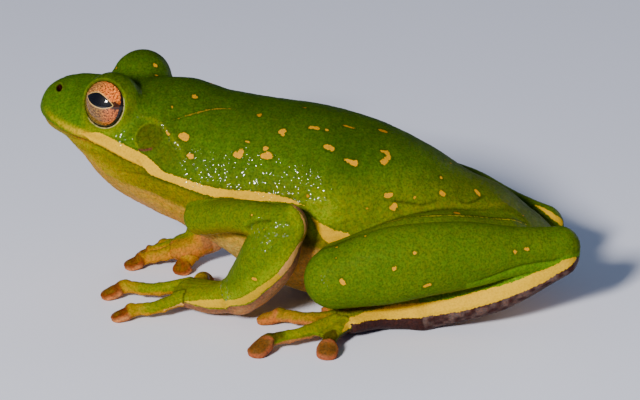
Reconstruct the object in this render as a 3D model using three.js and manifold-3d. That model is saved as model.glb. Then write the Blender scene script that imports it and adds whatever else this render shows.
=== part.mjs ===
// American green tree frog, adult, sitting alert with its hind legs folded under it: a life-size still model.
// Millimetres. +Z up; the frog faces -Y and its left side is +X. It rests on small flats at Z = 0, and the origin is
// under the middle of its outline.
// Each fleshy part is one closed loft: a SphereGeometry wrapped round a spine, ring by ring. Parts that grow into each
// other are parted by a thin gap, and the floor takes a sliver off every sole.
import * as THREE from "three";
import { mergeVertices } from "three/addons/utils/BufferGeometryUtils.js";
import Module from "manifold-3d";

const wasm = await Module();
wasm.setup();

// ---------------------------------------------------------------- driving dimensions
const GAP = 0.3; // between neighbouring parts
const EYE_GAP = 0.12; // between an eyeball and its socket

// The head has a frame of its own: X to the frog's left, Y back from the tip of the snout, Z up.
const HEAD_TIP = [-4.5, -26.4, 17.6];
const HEAD_YAW = -10.5; // degrees; it looks a little to the frog's right
const HEAD_PITCH = 15; // degrees; snout raised
const HEAD_LENGTH = 16.6; // snout to the back of the jaw
const MOUTH_FRONT = -1.35; // height of the mouth's line at the snout, in the head's frame
const MOUTH_BACK = 0.3; // and at the corner of the jaw

const EYE_R = 2.5; // eyeball
const EYE_AT = [4.25, 8.3, 3.68]; // the left one's centre, in the head's frame
const LID_R = 2.98; // the lids' outer face
const LID_OPEN = 1.15; // how far in front of the eye's centre the lids stop
const GAZE_FORWARD = 14; // degrees forward of straight out
const GAZE_UP = 7; // degrees up
const NOSTRIL_AT = [1.75, 1.95, 2.35];
const NOSTRIL_R = 0.3;

// ---------------------------------------------------------------- small tools
const V = (p) => new THREE.Vector3(...p);
const rad = THREE.MathUtils.degToRad;

// A smooth curve with no overshoot through rows of [x, a, b, ...]; it gives x -> [a, b, ...].
function through(rows) {
  const n = rows.length;
  const x = rows.map((r) => r[0]);
  const slopes = rows[0].slice(1).map((_, k) => {
    const d = x
      .slice(1)
      .map((v, i) => (rows[i + 1][k + 1] - rows[i][k + 1]) / (v - x[i]));
    const s = [d[0]];
    for (let i = 1; i < n - 1; i++) {
      const a = x[i] - x[i - 1];
      const b = x[i + 1] - x[i];
      const level = d[i - 1] * d[i] <= 0;
      s.push(
        level
          ? 0
          : (3 * (a + b)) / ((2 * b + a) / d[i - 1] + (b + 2 * a) / d[i]),
      );
    }
    s.push(d[n - 2]);
    return s;
  });
  return (at) => {
    let i = 0;
    while (i < n - 2 && at > x[i + 1]) i++;
    const h = x[i + 1] - x[i];
    const t = THREE.MathUtils.clamp((at - x[i]) / h, 0, 1);
    const t2 = t * t;
    const t3 = t2 * t;
    return slopes.map(
      (s, k) =>
        (2 * t3 - 3 * t2 + 1) * rows[i][k + 1] +
        (t3 - 2 * t2 + t) * h * s[i] +
        (3 * t2 - 2 * t3) * rows[i + 1][k + 1] +
        (t3 - t2) * h * s[i + 1],
    );
  };
}

// How far a rounded end has opened, at d from the tip of a cap c long.
const opened = (d, c) =>
  d >= c ? 1 : Math.sqrt(Math.max(0, 1 - (1 - d / c) ** 2));

// Wraps a sphere round a spine. ringAt(s), s from 0 to 1, gives a ring: its middle, the ways across, up and along, the
// half-width, the heights above and below, its squareness, and how much it narrows to its top and base.
function wrap(ringAt, around, rings, grow = 0) {
  const g = new THREE.SphereGeometry(1, around, rings);
  const p = g.attributes.position;
  const v = new THREE.Vector3();
  for (let i = 0; i < p.count; i++) {
    const row = Math.floor(i / (around + 1));
    const turn = (2 * Math.PI * ((i % (around + 1)) % around)) / around;
    const r = ringAt((1 - Math.cos((Math.PI * row) / rings)) / 2);
    const pole = row === 0 ? -1 : row === rings ? 1 : 0;
    v.copy(r.at);
    if (pole) {
      v.addScaledVector(r.along, pole * grow);
    } else {
      const c = Math.cos(turn);
      const u = Math.sin(turn);
      const e = 2 / r.square;
      const lean = 1 - (u > 0 ? r.narrowTop : r.narrowBase) * Math.abs(u);
      const height = (u > 0 ? r.above : r.below) + grow;
      v.addScaledVector(
        r.across,
        Math.sign(c) * Math.abs(c) ** e * (r.half + grow) * lean,
      );
      v.addScaledVector(r.up, Math.sign(u) * Math.abs(u) ** e * height);
    }
    p.setXYZ(i, v.x, v.y, v.z);
  }
  return g;
}

// The solid that a closed geometry bounds.
function solid(geometry) {
  const g = geometry.clone();
  g.deleteAttribute("normal");
  g.deleteAttribute("uv");
  const m = mergeVertices(g, 1e-5);
  const made = (index) =>
    new wasm.Manifold(
      new wasm.Mesh({
        numProp: 3,
        vertProperties: new Float32Array(m.attributes.position.array),
        triVerts: new Uint32Array(index),
      }),
    );
  const first = made(m.index.array);
  if (first.volume() > 0) return first;
  const flipped = [...m.index.array];
  for (let i = 0; i < flipped.length; i += 3)
    [flipped[i + 1], flipped[i + 2]] = [flipped[i + 2], flipped[i + 1]];
  return made(flipped);
}

// What is left of a solid after a cut, without the crumbs.
const largest = (s) =>
  s.decompose().sort((a, b) => b.volume() - a.volume())[0];

function ball(at, r, around = 14, rings = 9) {
  const g = new THREE.SphereGeometry(r, around, rings);
  g.translate(...at);
  return solid(g);
}

// All that lies beyond a plane: on the side that normal points to, and further than start.
function beyond(at, normal, start = 0) {
  const size = 150;
  const n = V(normal).normalize();
  const g = new THREE.BoxGeometry(size, size, size);
  g.applyMatrix4(
    new THREE.Matrix4().compose(
      V(at).addScaledVector(n, start + size / 2),
      new THREE.Quaternion().setFromUnitVectors(new THREE.Vector3(0, 0, 1), n),
      V([1, 1, 1]),
    ),
  );
  return solid(g);
}
const minus = (n) => n.map((v) => -v);

// ---------------------------------------------------------------- the two kinds of loft
// A hull: rings square to Y. Its rows are [y, x, z, half-width, above, below, squareness, narrowing up, narrowing down].
function hull(rows, capFront, capBack, frame) {
  const f = through(rows);
  const y0 = rows[0][0];
  const y1 = rows[rows.length - 1][0];
  return (s) => {
    const y = y0 + s * (y1 - y0);
    const [x, z, half, above, below, square, narrowTop, narrowBase] = f(y);
    const k = Math.min(opened(y - y0, capFront), opened(y1 - y, capBack));
    const ring = {
      at: V([x, y, z]),
      across: V([1, 0, 0]),
      up: V([0, 0, 1]),
      along: V([0, 1, 0]),
      half: half * k,
      above: above * k,
      below: below * k,
      square,
      narrowTop,
      narrowBase,
    };
    if (frame) {
      ring.at.applyMatrix4(frame);
      for (const way of [ring.across, ring.up, ring.along])
        way.transformDirection(frame);
    }
    return ring;
  };
}

// A limb: rings square to a spine, rounded off past both ends. Its rows are [s, half-width, above, below], with s from
// 0 to 1 along the spine, and top is the way its upper side faces.
function limb(spine, rows, top = [0, 0, 1], caps) {
  const path = new THREE.CatmullRomCurve3(spine.map(V), false, "centripetal");
  path.arcLengthDivisions = 400;
  const f = through(rows);
  const length = path.getLength();
  const [c0, c1] = caps ?? [rows[0][2], rows[rows.length - 1][2]];
  return (s) => {
    const d = -c0 + s * (length + c0 + c1);
    const u = THREE.MathUtils.clamp(d / length, 0, 1);
    const [half, above, below] = f(u);
    const k = Math.min(opened(d + c0, c0), opened(length + c1 - d, c1));
    const along = path.getTangentAt(u);
    const at = path
      .getPointAt(u)
      .addScaledVector(along, Math.min(d, 0) + Math.max(d - length, 0));
    const up = V(top);
    up.addScaledVector(along, -up.dot(along)).normalize();
    return {
      at,
      across: new THREE.Vector3().crossVectors(along, up),
      up,
      along,
      half: half * k,
      above: above * k,
      below: below * k,
      square: 2,
      narrowTop: 0,
      narrowBase: 0,
    };
  };
}

// ---------------------------------------------------------------- the parts, whole
const parts = new Map(); // name -> its solid
const grown = new Map(); // name -> the same, swollen by the gap, to cut its neighbours with
const pivots = new Map(); // name -> the point that it turns about in life
function make(name, ring, around, rings, pivot) {
  parts.set(name, solid(wrap(ring, around, rings)));
  grown.set(name, solid(wrap(ring, around, rings, GAP)));
  pivots.set(name, pivot);
}
function cutBy(name, ...others) {
  let s = parts.get(name);
  for (const o of others) s = s.subtract(grown.get(o));
  parts.set(name, largest(s));
}

// Takes off what lies beyond a plane, and half of the gap with it.
function cutOff(name, at, way) {
  parts.set(name, largest(parts.get(name).subtract(beyond(at, way, -GAP / 2))));
}

const headFrame = new THREE.Matrix4().compose(
  V(HEAD_TIP),
  new THREE.Quaternion().setFromEuler(
    new THREE.Euler(rad(-HEAD_PITCH), 0, rad(HEAD_YAW), "ZXY"),
  ),
  V([1, 1, 1]),
);
const inHead = (p) => V(p).applyMatrix4(headFrame).toArray();
const wayInHead = (p) => V(p).transformDirection(headFrame).toArray();

// y is back from the snout here
const HEAD = [
  [0.3, 0, 0.1, 3.5, 2.7, 2.2, 2.2, 0.2, 0.1],
  [1.6, 0, 0.15, 4.0, 2.75, 2.2, 2.2, 0.25, 0.1],
  [4.0, 0, 0.2, 5.2, 3.45, 2.2, 2.3, 0.35, 0.15],
  [6.4, 0, 0.2, 6.3, 4.1, 3.3, 2.3, 0.4, 0.2],
  [8.7, 0, 0.1, 6.9, 4.8, 5.1, 2.3, 0.4, 0.25],
  [11.5, 0, 0.0, 7.5, 6.1, 6.1, 2.2, 0.33, 0.25],
  [14.5, 0, 0.0, 7.9, 6.8, 6.4, 2.2, 0.2, 0.2],
  [18.0, 0, 0.0, 8.1, 6.8, 6.6, 2.15, 0.15, 0.1],
  [22.0, 0, -0.4, 7.8, 6.4, 6.4, 2.1, 0.1, 0.1],
];
const TRUNK = [
  [-18.0, -2.5, 14.8, 7.7, 6.4, 6.0, 2.15, 0.15, 0.1],
  [-13.0, -1.8, 13.9, 8.0, 6.9, 6.7, 2.15, 0.15, 0.1],
  [-8.0, -1.0, 12.4, 8.5, 7.4, 7.5, 2.2, 0.15, 0.1],
  [-3.0, -0.4, 10.6, 9.1, 8.6, 8.55, 2.25, 0.12, 0.1],
  [2.0, -0.1, 9.6, 9.5, 9.1, 9.0, 2.25, 0.1, 0.1],
  [7.0, 0.0, 8.8, 9.0, 8.7, 9.0, 2.2, 0.1, 0.1],
  [12.0, 0.1, 8.0, 7.7, 7.3, 8.2, 2.1, 0.05, 0.1],
  [17.0, 0.2, 7.2, 6.0, 4.9, 6.8, 2.0, 0, 0],
  [21.0, 0.2, 6.6, 4.7, 3.0, 4.6, 2.0, 0, 0],
  [25.0, 0.2, 6.0, 3.6, 1.8, 2.6, 2.0, 0, 0],
];
make("head", hull(HEAD, 3.0, 6.0, headFrame), 20, 15, inHead([0, HEAD_LENGTH, 0]));
make("trunk", hull(TRUNK, 3.0, 3.0), 22, 18, [0, 14, 8]);

// Sections of the limbs and the digits; a digit swells at its joints and ends in a flat disc.
const UPPER_ARM = [
  [0, 1.9, 1.6, 1.8],
  [0.5, 1.75, 1.45, 1.7],
  [1, 2.05, 1.9, 2.1],
];
const FOREARM = [
  [0, 2.0, 2.1, 1.9],
  [0.35, 2.75, 2.7, 2.7],
  [0.75, 2.4, 2.2, 2.6],
  [1, 2.1, 1.7, 2.2],
];
const PALM = [
  [0, 2.1, 1.6, 1.8],
  [0.5, 2.5, 1.35, 1.6],
  [1, 2.4, 1.0, 1.3],
];
const THIGH = [
  [0, 3.2, 3.0, 3.4],
  [0.4, 3.5, 3.9, 4.0],
  [0.8, 3.0, 3.3, 3.1],
  [1, 2.6, 2.8, 2.6],
];
const SHANK = [
  [0, 2.5, 3.1, 2.9],
  [0.25, 2.7, 3.9, 3.4],
  [0.55, 2.4, 3.4, 3.2],
  [0.85, 1.9, 2.3, 2.2],
  [1, 1.8, 2.1, 2.0],
];
const TARSUS = [
  [0, 1.7, 1.7, 1.7],
  [0.4, 1.8, 1.7, 1.8],
  [1, 1.9, 1.7, 1.8],
];
const FOOT = [
  [0, 1.9, 1.7, 1.8],
  [0.5, 2.1, 1.3, 1.5],
  [1, 2.3, 0.9, 1.2],
];
const DIGIT = [
  [0, 0.8, 0.72, 0.75],
  [0.3, 0.7, 0.6, 0.65],
  [0.6, 0.62, 0.55, 0.6],
  [0.76, 0.68, 0.6, 0.62],
  [0.9, 1.08, 0.72, 0.7],
  [1, 1.05, 0.68, 0.66],
];
const DIGIT_CAPS = [0.5, 0.85];

function digits(kind, end, spines) {
  spines.forEach((spine, i) =>
    make(
      `${kind}_${i + 1}${end}`,
      limb(spine, DIGIT, [0, 0, 1], DIGIT_CAPS),
      8,
      9,
      spine[0],
    ),
  );
}
function forelimb(end, j) {
  const upper = [j.shoulder, j.mid, j.elbow];
  const fore = [j.elbow, j.bulge, j.wrist];
  const palm = [j.wrist, j.heel, j.knuckles];
  make("upper_arm" + end, limb(upper, UPPER_ARM), 12, 10, j.shoulder);
  make("forearm" + end, limb(fore, FOREARM, [0, -1, 0.6]), 10, 10, j.elbow);
  make("palm" + end, limb(palm, PALM), 10, 8, j.wrist);
  digits("finger", end, j.fingers);
}
function hindlimb(end, j) {
  make("thigh" + end, limb([j.hip, j.ham, j.knee], THIGH), 12, 11, j.hip);
  make("shank" + end, limb([j.kneecap, j.calf, j.ankle], SHANK), 14, 12, j.kneecap);
  make("tarsus" + end, limb([j.heel, j.sole, j.instep], TARSUS), 10, 10, j.heel);
  make("foot" + end, limb([j.instep, j.arch, j.ball], FOOT), 10, 8, j.instep);
  digits("toe", end, j.toes);
}

// Fingers and toes are numbered from the inner side, and each spine runs from its knuckle to its disc.
forelimb("_left", {
  shoulder: [6.7, -8.7, 9.8],
  mid: [10.2, -4.2, 11.35],
  elbow: [12.3, 0.1, 11.2],
  bulge: [11.6, -1.9, 7.2],
  wrist: [9.0, -4.9, 3.1],
  heel: [7.2, -7.5, 2.0],
  knuckles: [6.2, -10.2, 2.0],
  fingers: [
    [[5.6, -7.8, 1.8], [3.8, -7.6, 1.6], [1.8, -7.8, 0.55]],
    [[5.2, -9.2, 2.0], [2.2, -9.5, 1.9], [-0.8, -9.9, 0.55]],
    [[5.2, -10.2, 2.3], [4.7, -13.9, 1.45], [3.6, -17.0, 1.1], [4.1, -18.4, 0.55]],
    [[7.8, -10.2, 2.0], [9.3, -13.0, 1.3], [9.6, -14.8, 1.1], [9.9, -16.3, 0.55]],
  ],
});
forelimb("_right", {
  shoulder: [-5.6, -8.4, 11.2],
  mid: [-9.6, -6.4, 11.0],
  elbow: [-12.8, -3.6, 9.8],
  bulge: [-10.8, -6.6, 6.8],
  wrist: [-7.2, -10.7, 3.3],
  heel: [-6.9, -12.0, 2.2],
  knuckles: [-7.0, -13.2, 1.8],
  fingers: [
    [[-6.2, -11.8, 1.9], [-5.0, -11.9, 1.4], [-3.8, -12.6, 0.55]],
    [[-6.4, -12.8, 1.9], [-5.6, -14.5, 1.4], [-5.1, -16.4, 1.0], [-4.5, -17.7, 0.55]],
    [[-7.3, -13.2, 1.8], [-7.4, -15.0, 1.3], [-7.4, -17.1, 0.55]],
    [[-8.2, -12.8, 1.6], [-9.0, -14.4, 1.2], [-9.9, -15.9, 0.55]],
  ],
});
hindlimb("_left", {
  hip: [3.4, 19.4, 7.0],
  ham: [8.4, 12.0, 7.6],
  knee: [12.0, 5.4, 7.0],
  kneecap: [13.0, 5.1, 6.5],
  calf: [10.6, 14.4, 8.0],
  ankle: [5.8, 25.2, 8.0],
  heel: [5.9, 25.4, 7.0],
  sole: [7.1, 19.2, 3.6],
  instep: [7.6, 12.4, 1.68],
  arch: [8.6, 8.6, 1.7],
  ball: [11.0, 5.6, 1.7],
  toes: [
    [[8.8, 7.2, 1.5], [7.0, 7.2, 1.2], [5.2, 7.4, 0.55]],
    [[9.6, 5.8, 1.6], [7.4, 4.6, 1.3], [5.3, 3.5, 0.55]],
    [[10.6, 5.0, 1.7], [9.9, 1.8, 1.2], [8.9, -0.9, 1.0], [8.7, -2.4, 0.55]],
    [[11.8, 4.8, 1.8], [14.6, 1.8, 1.4], [15.9, -0.8, 1.1], [17.4, -1.8, 0.55]],
    [[11.6, 6.0, 1.7], [13.6, 5.2, 1.5], [15.2, 4.7, 1.15], [17.0, 4.7, 0.55]],
  ],
});
hindlimb("_right", {
  hip: [-3.0, 18.6, 6.6],
  ham: [-8.2, 11.4, 7.4],
  knee: [-12.2, 4.6, 6.8],
  kneecap: [-13.2, 4.3, 6.4],
  calf: [-11.0, 13.0, 6.8],
  ankle: [-6.6, 22.7, 5.8],
  heel: [-6.6, 22.8, 5.0],
  sole: [-7.8, 17.0, 3.1],
  instep: [-8.2, 11.0, 1.68],
  arch: [-9.2, 7.2, 1.7],
  ball: [-11.6, 4.2, 1.7],
  toes: [
    [[-9.4, 5.8, 1.5], [-7.6, 5.6, 1.2], [-5.8, 5.6, 0.55]],
    [[-10.2, 4.4, 1.6], [-8.2, 2.6, 1.3], [-6.6, 1.0, 0.55]],
    [[-11.2, 3.6, 1.7], [-11.0, 0.2, 1.2], [-10.4, -2.4, 1.0], [-10.3, -4.0, 0.55]],
    [[-12.4, 3.4, 1.8], [-15.0, 0.2, 1.4], [-16.4, -2.4, 1.1], [-17.6, -3.6, 0.55]],
    [[-12.4, 4.6, 1.7], [-14.6, 3.4, 1.5], [-16.2, 2.4, 1.15], [-17.9, 2.0, 0.55]],
  ],
});

// ---------------------------------------------------------------- eyes, lids and nostrils
const eyes = [1, -1].map((side) => {
  const end = side > 0 ? "_left" : "_right";
  const centre = inHead([side * EYE_AT[0], EYE_AT[1], EYE_AT[2]]);
  const f = rad(GAZE_FORWARD);
  const u = rad(GAZE_UP);
  const gaze = wayInHead([
    side * Math.cos(f) * Math.cos(u),
    -Math.sin(f) * Math.cos(u),
    Math.sin(u),
  ]);
  return { end, centre, gaze, nostril: inHead([side * NOSTRIL_AT[0], NOSTRIL_AT[1], NOSTRIL_AT[2]]) };
});
for (const eye of eyes) {
  parts.set("eye" + eye.end, ball(eye.centre, EYE_R));
  pivots.set("eye" + eye.end, eye.centre);
  const lids = ball(eye.centre, LID_R).subtract(
    beyond(eye.centre, eye.gaze, LID_OPEN),
  );
  parts.set("head", parts.get("head").add(lids));
  grown.set("head", grown.get("head").add(ball(eye.centre, LID_R + GAP)));
}

// ---------------------------------------------------------------- parting them
// Head and trunk run on into each other, so both are cut on one plane.
const neckAt = inHead([0, HEAD_LENGTH, 0]);
const neckWay = wayInHead([0, 1, 0]);
grown.set("body", grown.get("head").add(grown.get("trunk")));
cutOff("trunk", neckAt, minus(neckWay));
cutOff("head", neckAt, neckWay);
let head = parts.get("head");
for (const eye of eyes)
  head = head
    .subtract(ball(eye.centre, EYE_R + EYE_GAP))
    .subtract(ball(eye.nostril, NOSTRIL_R, 6, 4));

// The mouth is a plane too, from under the snout to the corner of the jaw.
const mouthAt = inHead([0, 0, MOUTH_FRONT]);
const mouthUp = wayInHead([0, -(MOUTH_BACK - MOUTH_FRONT), HEAD_LENGTH]);
parts.set("lower_jaw", largest(head.intersect(beyond(mouthAt, minus(mouthUp), GAP / 2))));
parts.set("head", largest(head.intersect(beyond(mouthAt, mouthUp, GAP / 2))));
pivots.set("lower_jaw", inHead([0, HEAD_LENGTH, MOUTH_BACK]));

for (const end of ["_left", "_right"]) {
  cutBy("upper_arm" + end, "body");
  cutBy("forearm" + end, "body", "upper_arm" + end);
  cutBy("palm" + end, "forearm" + end);
  const arm = ["palm" + end, "forearm" + end];
  for (let i = 1; i <= 4; i++) {
    cutBy(`finger_${i}${end}`, ...arm);
    arm.push(`finger_${i}${end}`);
  }
  cutBy("shank" + end, "body");
  cutBy("thigh" + end, "body", "shank" + end);
  const leg = ["body", "shank" + end, "thigh" + end];
  for (const name of ["tarsus", "foot", "toe_1", "toe_2", "toe_3", "toe_4", "toe_5"]) {
    cutBy(name + end, ...leg);
    leg.push(name + end);
  }
}

// The floor takes a sliver off all that presses on it.
for (const [name, s] of parts)
  parts.set(name, largest(s.subtract(beyond([0, 0, 0], [0, 0, -1]))));

// ---------------------------------------------------------------- the scene
const skin = (color) => ({ color, roughness: 0.42, metalness: 0 });
const LOOK = {
  head: skin(0x6f9a1e),
  lower_jaw: skin(0xb9b04a),
  trunk: skin(0x6b941b),
  eye: { color: 0xb8754a, roughness: 0.12, metalness: 0 },
  upper_arm: skin(0x7a9a1e),
  forearm: skin(0x7a9a1e),
  palm: skin(0x86982a),
  finger: skin(0x9a8a35),
  thigh: skin(0x6f9418),
  shank: skin(0x6a941a),
  tarsus: skin(0xd8c878),
  foot: skin(0x86982a),
  toe: skin(0x9a8a35),
};

const frog = new THREE.Group();
const box = new THREE.Box3();
function place(parent, name) {
  const pivot = V(pivots.get(name));
  const m = parts.get(name).getMesh();
  const g = new THREE.BufferGeometry()
    .setAttribute(
      "position",
      new THREE.BufferAttribute(new Float32Array(m.vertProperties), 3),
    )
    .setIndex(new THREE.BufferAttribute(new Uint32Array(m.triVerts), 1));
  g.computeBoundingBox();
  box.union(g.boundingBox);
  g.translate(-pivot.x, -pivot.y, -pivot.z);
  g.computeVertexNormals();
  const look = LOOK[Object.keys(LOOK).find((k) => name.startsWith(k))];
  const mesh = new THREE.Mesh(g, new THREE.MeshStandardMaterial(look));
  mesh.name = name;
  mesh.position.copy(pivot.sub(parent.userData.at ?? new THREE.Vector3()));
  parent.add(mesh);
}
// A group that hangs on its own joint, with the meshes named.
function limbGroup(at, names) {
  const g = new THREE.Group();
  g.position.set(...at);
  g.userData.at = V(at);
  frog.add(g);
  for (const name of names) place(g, name);
}

place(frog, "trunk");
limbGroup(neckAt, ["head", "lower_jaw", "eye_left", "eye_right"]);
const numbered = (kind, count) =>
  Array.from({ length: count }, (_, i) => `${kind}_${i + 1}`);
for (const end of ["_left", "_right"]) {
  const arm = ["upper_arm", "forearm", "palm", ...numbered("finger", 4)];
  const leg = ["thigh", "shank", "tarsus", "foot", ...numbered("toe", 5)];
  limbGroup(pivots.get("upper_arm" + end), arm.map((n) => n + end));
  limbGroup(pivots.get("thigh" + end), leg.map((n) => n + end));
}

// The origin goes under the middle of the outline.
const middle = box.getCenter(new THREE.Vector3());
frog.position.set(-middle.x, -middle.y, 0);
frog.updateMatrixWorld(true);

export default frog;
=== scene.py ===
"""American green tree frog, adult, sitting alert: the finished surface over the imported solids.

The skin is one mesh. It is meshed from a field with the same spines and sections as the solids, with creases where the
limbs press on the body and smooth joints where they grow from it, then it gets its lids, folds, granules and markings.
Lengths are millimetres until the mesh is made. The frog faces -Y and its left side is +X.
"""

import math

import bpy
import numpy as np
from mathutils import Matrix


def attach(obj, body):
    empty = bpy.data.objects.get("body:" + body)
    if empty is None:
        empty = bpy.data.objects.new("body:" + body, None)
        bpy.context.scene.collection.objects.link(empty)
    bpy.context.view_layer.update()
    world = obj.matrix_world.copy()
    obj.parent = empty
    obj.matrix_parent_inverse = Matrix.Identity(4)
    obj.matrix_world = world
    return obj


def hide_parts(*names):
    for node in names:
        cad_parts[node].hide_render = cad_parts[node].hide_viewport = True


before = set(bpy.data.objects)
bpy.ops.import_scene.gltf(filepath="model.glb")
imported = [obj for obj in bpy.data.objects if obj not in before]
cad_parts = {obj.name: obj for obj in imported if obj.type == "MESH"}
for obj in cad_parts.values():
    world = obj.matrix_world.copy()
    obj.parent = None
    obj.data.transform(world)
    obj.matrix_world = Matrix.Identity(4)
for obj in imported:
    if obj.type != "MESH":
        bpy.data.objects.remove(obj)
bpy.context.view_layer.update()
F = np.float32

# ---------------------------------------------------------------- the solids' stations, in the stance's own frame
SHIFT = np.array([0.20581722, -0.48138714, 0.0])  # from there to the row's frame

HEAD_TIP = np.array([-4.5, -26.4, 17.6])
HEAD_YAW = math.radians(-10.5)
HEAD_PITCH = math.radians(15)
HEAD_LENGTH = 16.6
MOUTH_FRONT = -1.35
MOUTH_BACK = 0.3
EYE_R = 2.5
EYE_AT = np.array([4.25, 8.3, 3.68])
LID_R = 2.98
LID_OPEN = 1.15
GAZE_FORWARD = math.radians(14)
GAZE_UP = math.radians(7)
NOSTRIL_AT = np.array([1.75, 1.95, 2.35])

HEAD = [
    [0.3, 0, 0.1, 3.5, 2.7, 2.2, 2.2, 0.2, 0.1],
    [1.6, 0, 0.15, 4.0, 2.75, 2.2, 2.2, 0.25, 0.1],
    [4.0, 0, 0.2, 5.2, 3.45, 2.2, 2.3, 0.35, 0.15],
    [6.4, 0, 0.2, 6.3, 4.1, 3.3, 2.3, 0.4, 0.2],
    [8.7, 0, 0.1, 6.9, 4.8, 5.1, 2.3, 0.4, 0.25],
    [11.5, 0, 0.0, 7.5, 6.1, 6.1, 2.2, 0.33, 0.25],
    [14.5, 0, 0.0, 7.9, 6.8, 6.4, 2.2, 0.2, 0.2],
    [18.0, 0, 0.0, 8.1, 6.8, 6.6, 2.15, 0.15, 0.1],
    [22.0, 0, -0.4, 7.8, 6.4, 6.4, 2.1, 0.1, 0.1],
]
TRUNK = [
    [-18.0, -2.5, 14.8, 7.7, 6.4, 6.0, 2.15, 0.15, 0.1],
    [-13.0, -1.8, 13.9, 8.0, 6.9, 6.7, 2.15, 0.15, 0.1],
    [-8.0, -1.0, 12.4, 8.5, 7.4, 7.5, 2.2, 0.15, 0.1],
    [-3.0, -0.4, 10.6, 9.1, 8.6, 8.55, 2.25, 0.12, 0.1],
    [2.0, -0.1, 9.6, 9.5, 9.1, 9.0, 2.25, 0.1, 0.1],
    [7.0, 0.0, 8.8, 9.0, 8.7, 9.0, 2.2, 0.1, 0.1],
    [12.0, 0.1, 8.0, 7.7, 7.3, 8.2, 2.1, 0.05, 0.1],
    [17.0, 0.2, 7.2, 6.0, 4.9, 6.8, 2.0, 0, 0],
    [21.0, 0.2, 6.6, 4.7, 3.0, 4.6, 2.0, 0, 0],
    [25.0, 0.2, 6.0, 3.6, 1.8, 2.6, 2.0, 0, 0],
]
UPPER_ARM = [[0, 1.9, 1.6, 1.8], [0.5, 1.75, 1.45, 1.7], [1, 2.05, 1.9, 2.1]]
FOREARM = [[0, 2.0, 2.1, 1.9], [0.35, 2.75, 2.7, 2.7], [0.75, 2.4, 2.2, 2.6], [1, 2.1, 1.7, 2.2]]
PALM = [[0, 2.1, 1.6, 1.8], [0.5, 2.5, 1.35, 1.6], [1, 2.4, 1.0, 1.3]]
THIGH = [[0, 3.2, 3.0, 3.4], [0.4, 3.5, 3.9, 4.0], [0.8, 3.0, 3.3, 3.1], [1, 2.6, 2.8, 2.6]]
SHANK = [[0, 2.5, 3.1, 2.9], [0.25, 2.7, 3.9, 3.4], [0.55, 2.4, 3.4, 3.2], [0.85, 1.9, 2.3, 2.2], [1, 1.8, 2.1, 2.0]]
TARSUS = [[0, 1.7, 1.7, 1.7], [0.4, 1.8, 1.7, 1.8], [1, 1.9, 1.7, 1.8]]
FOOT = [[0, 1.9, 1.7, 1.8], [0.5, 2.1, 1.3, 1.5], [1, 2.3, 0.9, 1.2]]
DIGIT = [
    [0, 0.8, 0.72, 0.75],
    [0.3, 0.7, 0.6, 0.65],
    [0.6, 0.62, 0.55, 0.6],
    [0.76, 0.68, 0.6, 0.62],
    [0.9, 1.08, 0.72, 0.7],
    [1, 1.05, 0.68, 0.66],
]
DIGIT_CAPS = (0.5, 0.85)

ARMS = {
    "left": dict(
        upper=[[6.7, -8.7, 9.8], [10.2, -4.2, 11.35], [12.3, 0.1, 11.2]],
        fore=[[12.3, 0.1, 11.2], [11.6, -1.9, 7.2], [9.0, -4.9, 3.1]],
        palm=[[9.0, -4.9, 3.1], [7.2, -7.5, 2.0], [6.2, -10.2, 2.0]],
        digits=[
            [[5.6, -7.8, 1.8], [3.8, -7.6, 1.6], [1.8, -7.8, 0.55]],
            [[5.2, -9.2, 2.0], [2.2, -9.5, 1.9], [-0.8, -9.9, 0.55]],
            [[5.2, -10.2, 2.3], [4.7, -13.9, 1.45], [3.6, -17.0, 1.1], [4.1, -18.4, 0.55]],
            [[7.8, -10.2, 2.0], [9.3, -13.0, 1.3], [9.6, -14.8, 1.1], [9.9, -16.3, 0.55]],
        ],
    ),
    "right": dict(
        upper=[[-5.6, -8.4, 11.2], [-9.6, -6.4, 11.0], [-12.8, -3.6, 9.8]],
        fore=[[-12.8, -3.6, 9.8], [-10.8, -6.6, 6.8], [-7.2, -10.7, 3.3]],
        palm=[[-7.2, -10.7, 3.3], [-6.9, -12.0, 2.2], [-7.0, -13.2, 1.8]],
        digits=[
            [[-6.2, -11.8, 1.9], [-5.0, -11.9, 1.4], [-3.8, -12.6, 0.55]],
            [[-6.4, -12.8, 1.9], [-5.6, -14.5, 1.4], [-5.1, -16.4, 1.0], [-4.5, -17.7, 0.55]],
            [[-7.3, -13.2, 1.8], [-7.4, -15.0, 1.3], [-7.4, -17.1, 0.55]],
            [[-8.2, -12.8, 1.6], [-9.0, -14.4, 1.2], [-9.9, -15.9, 0.55]],
        ],
    ),
}
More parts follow.
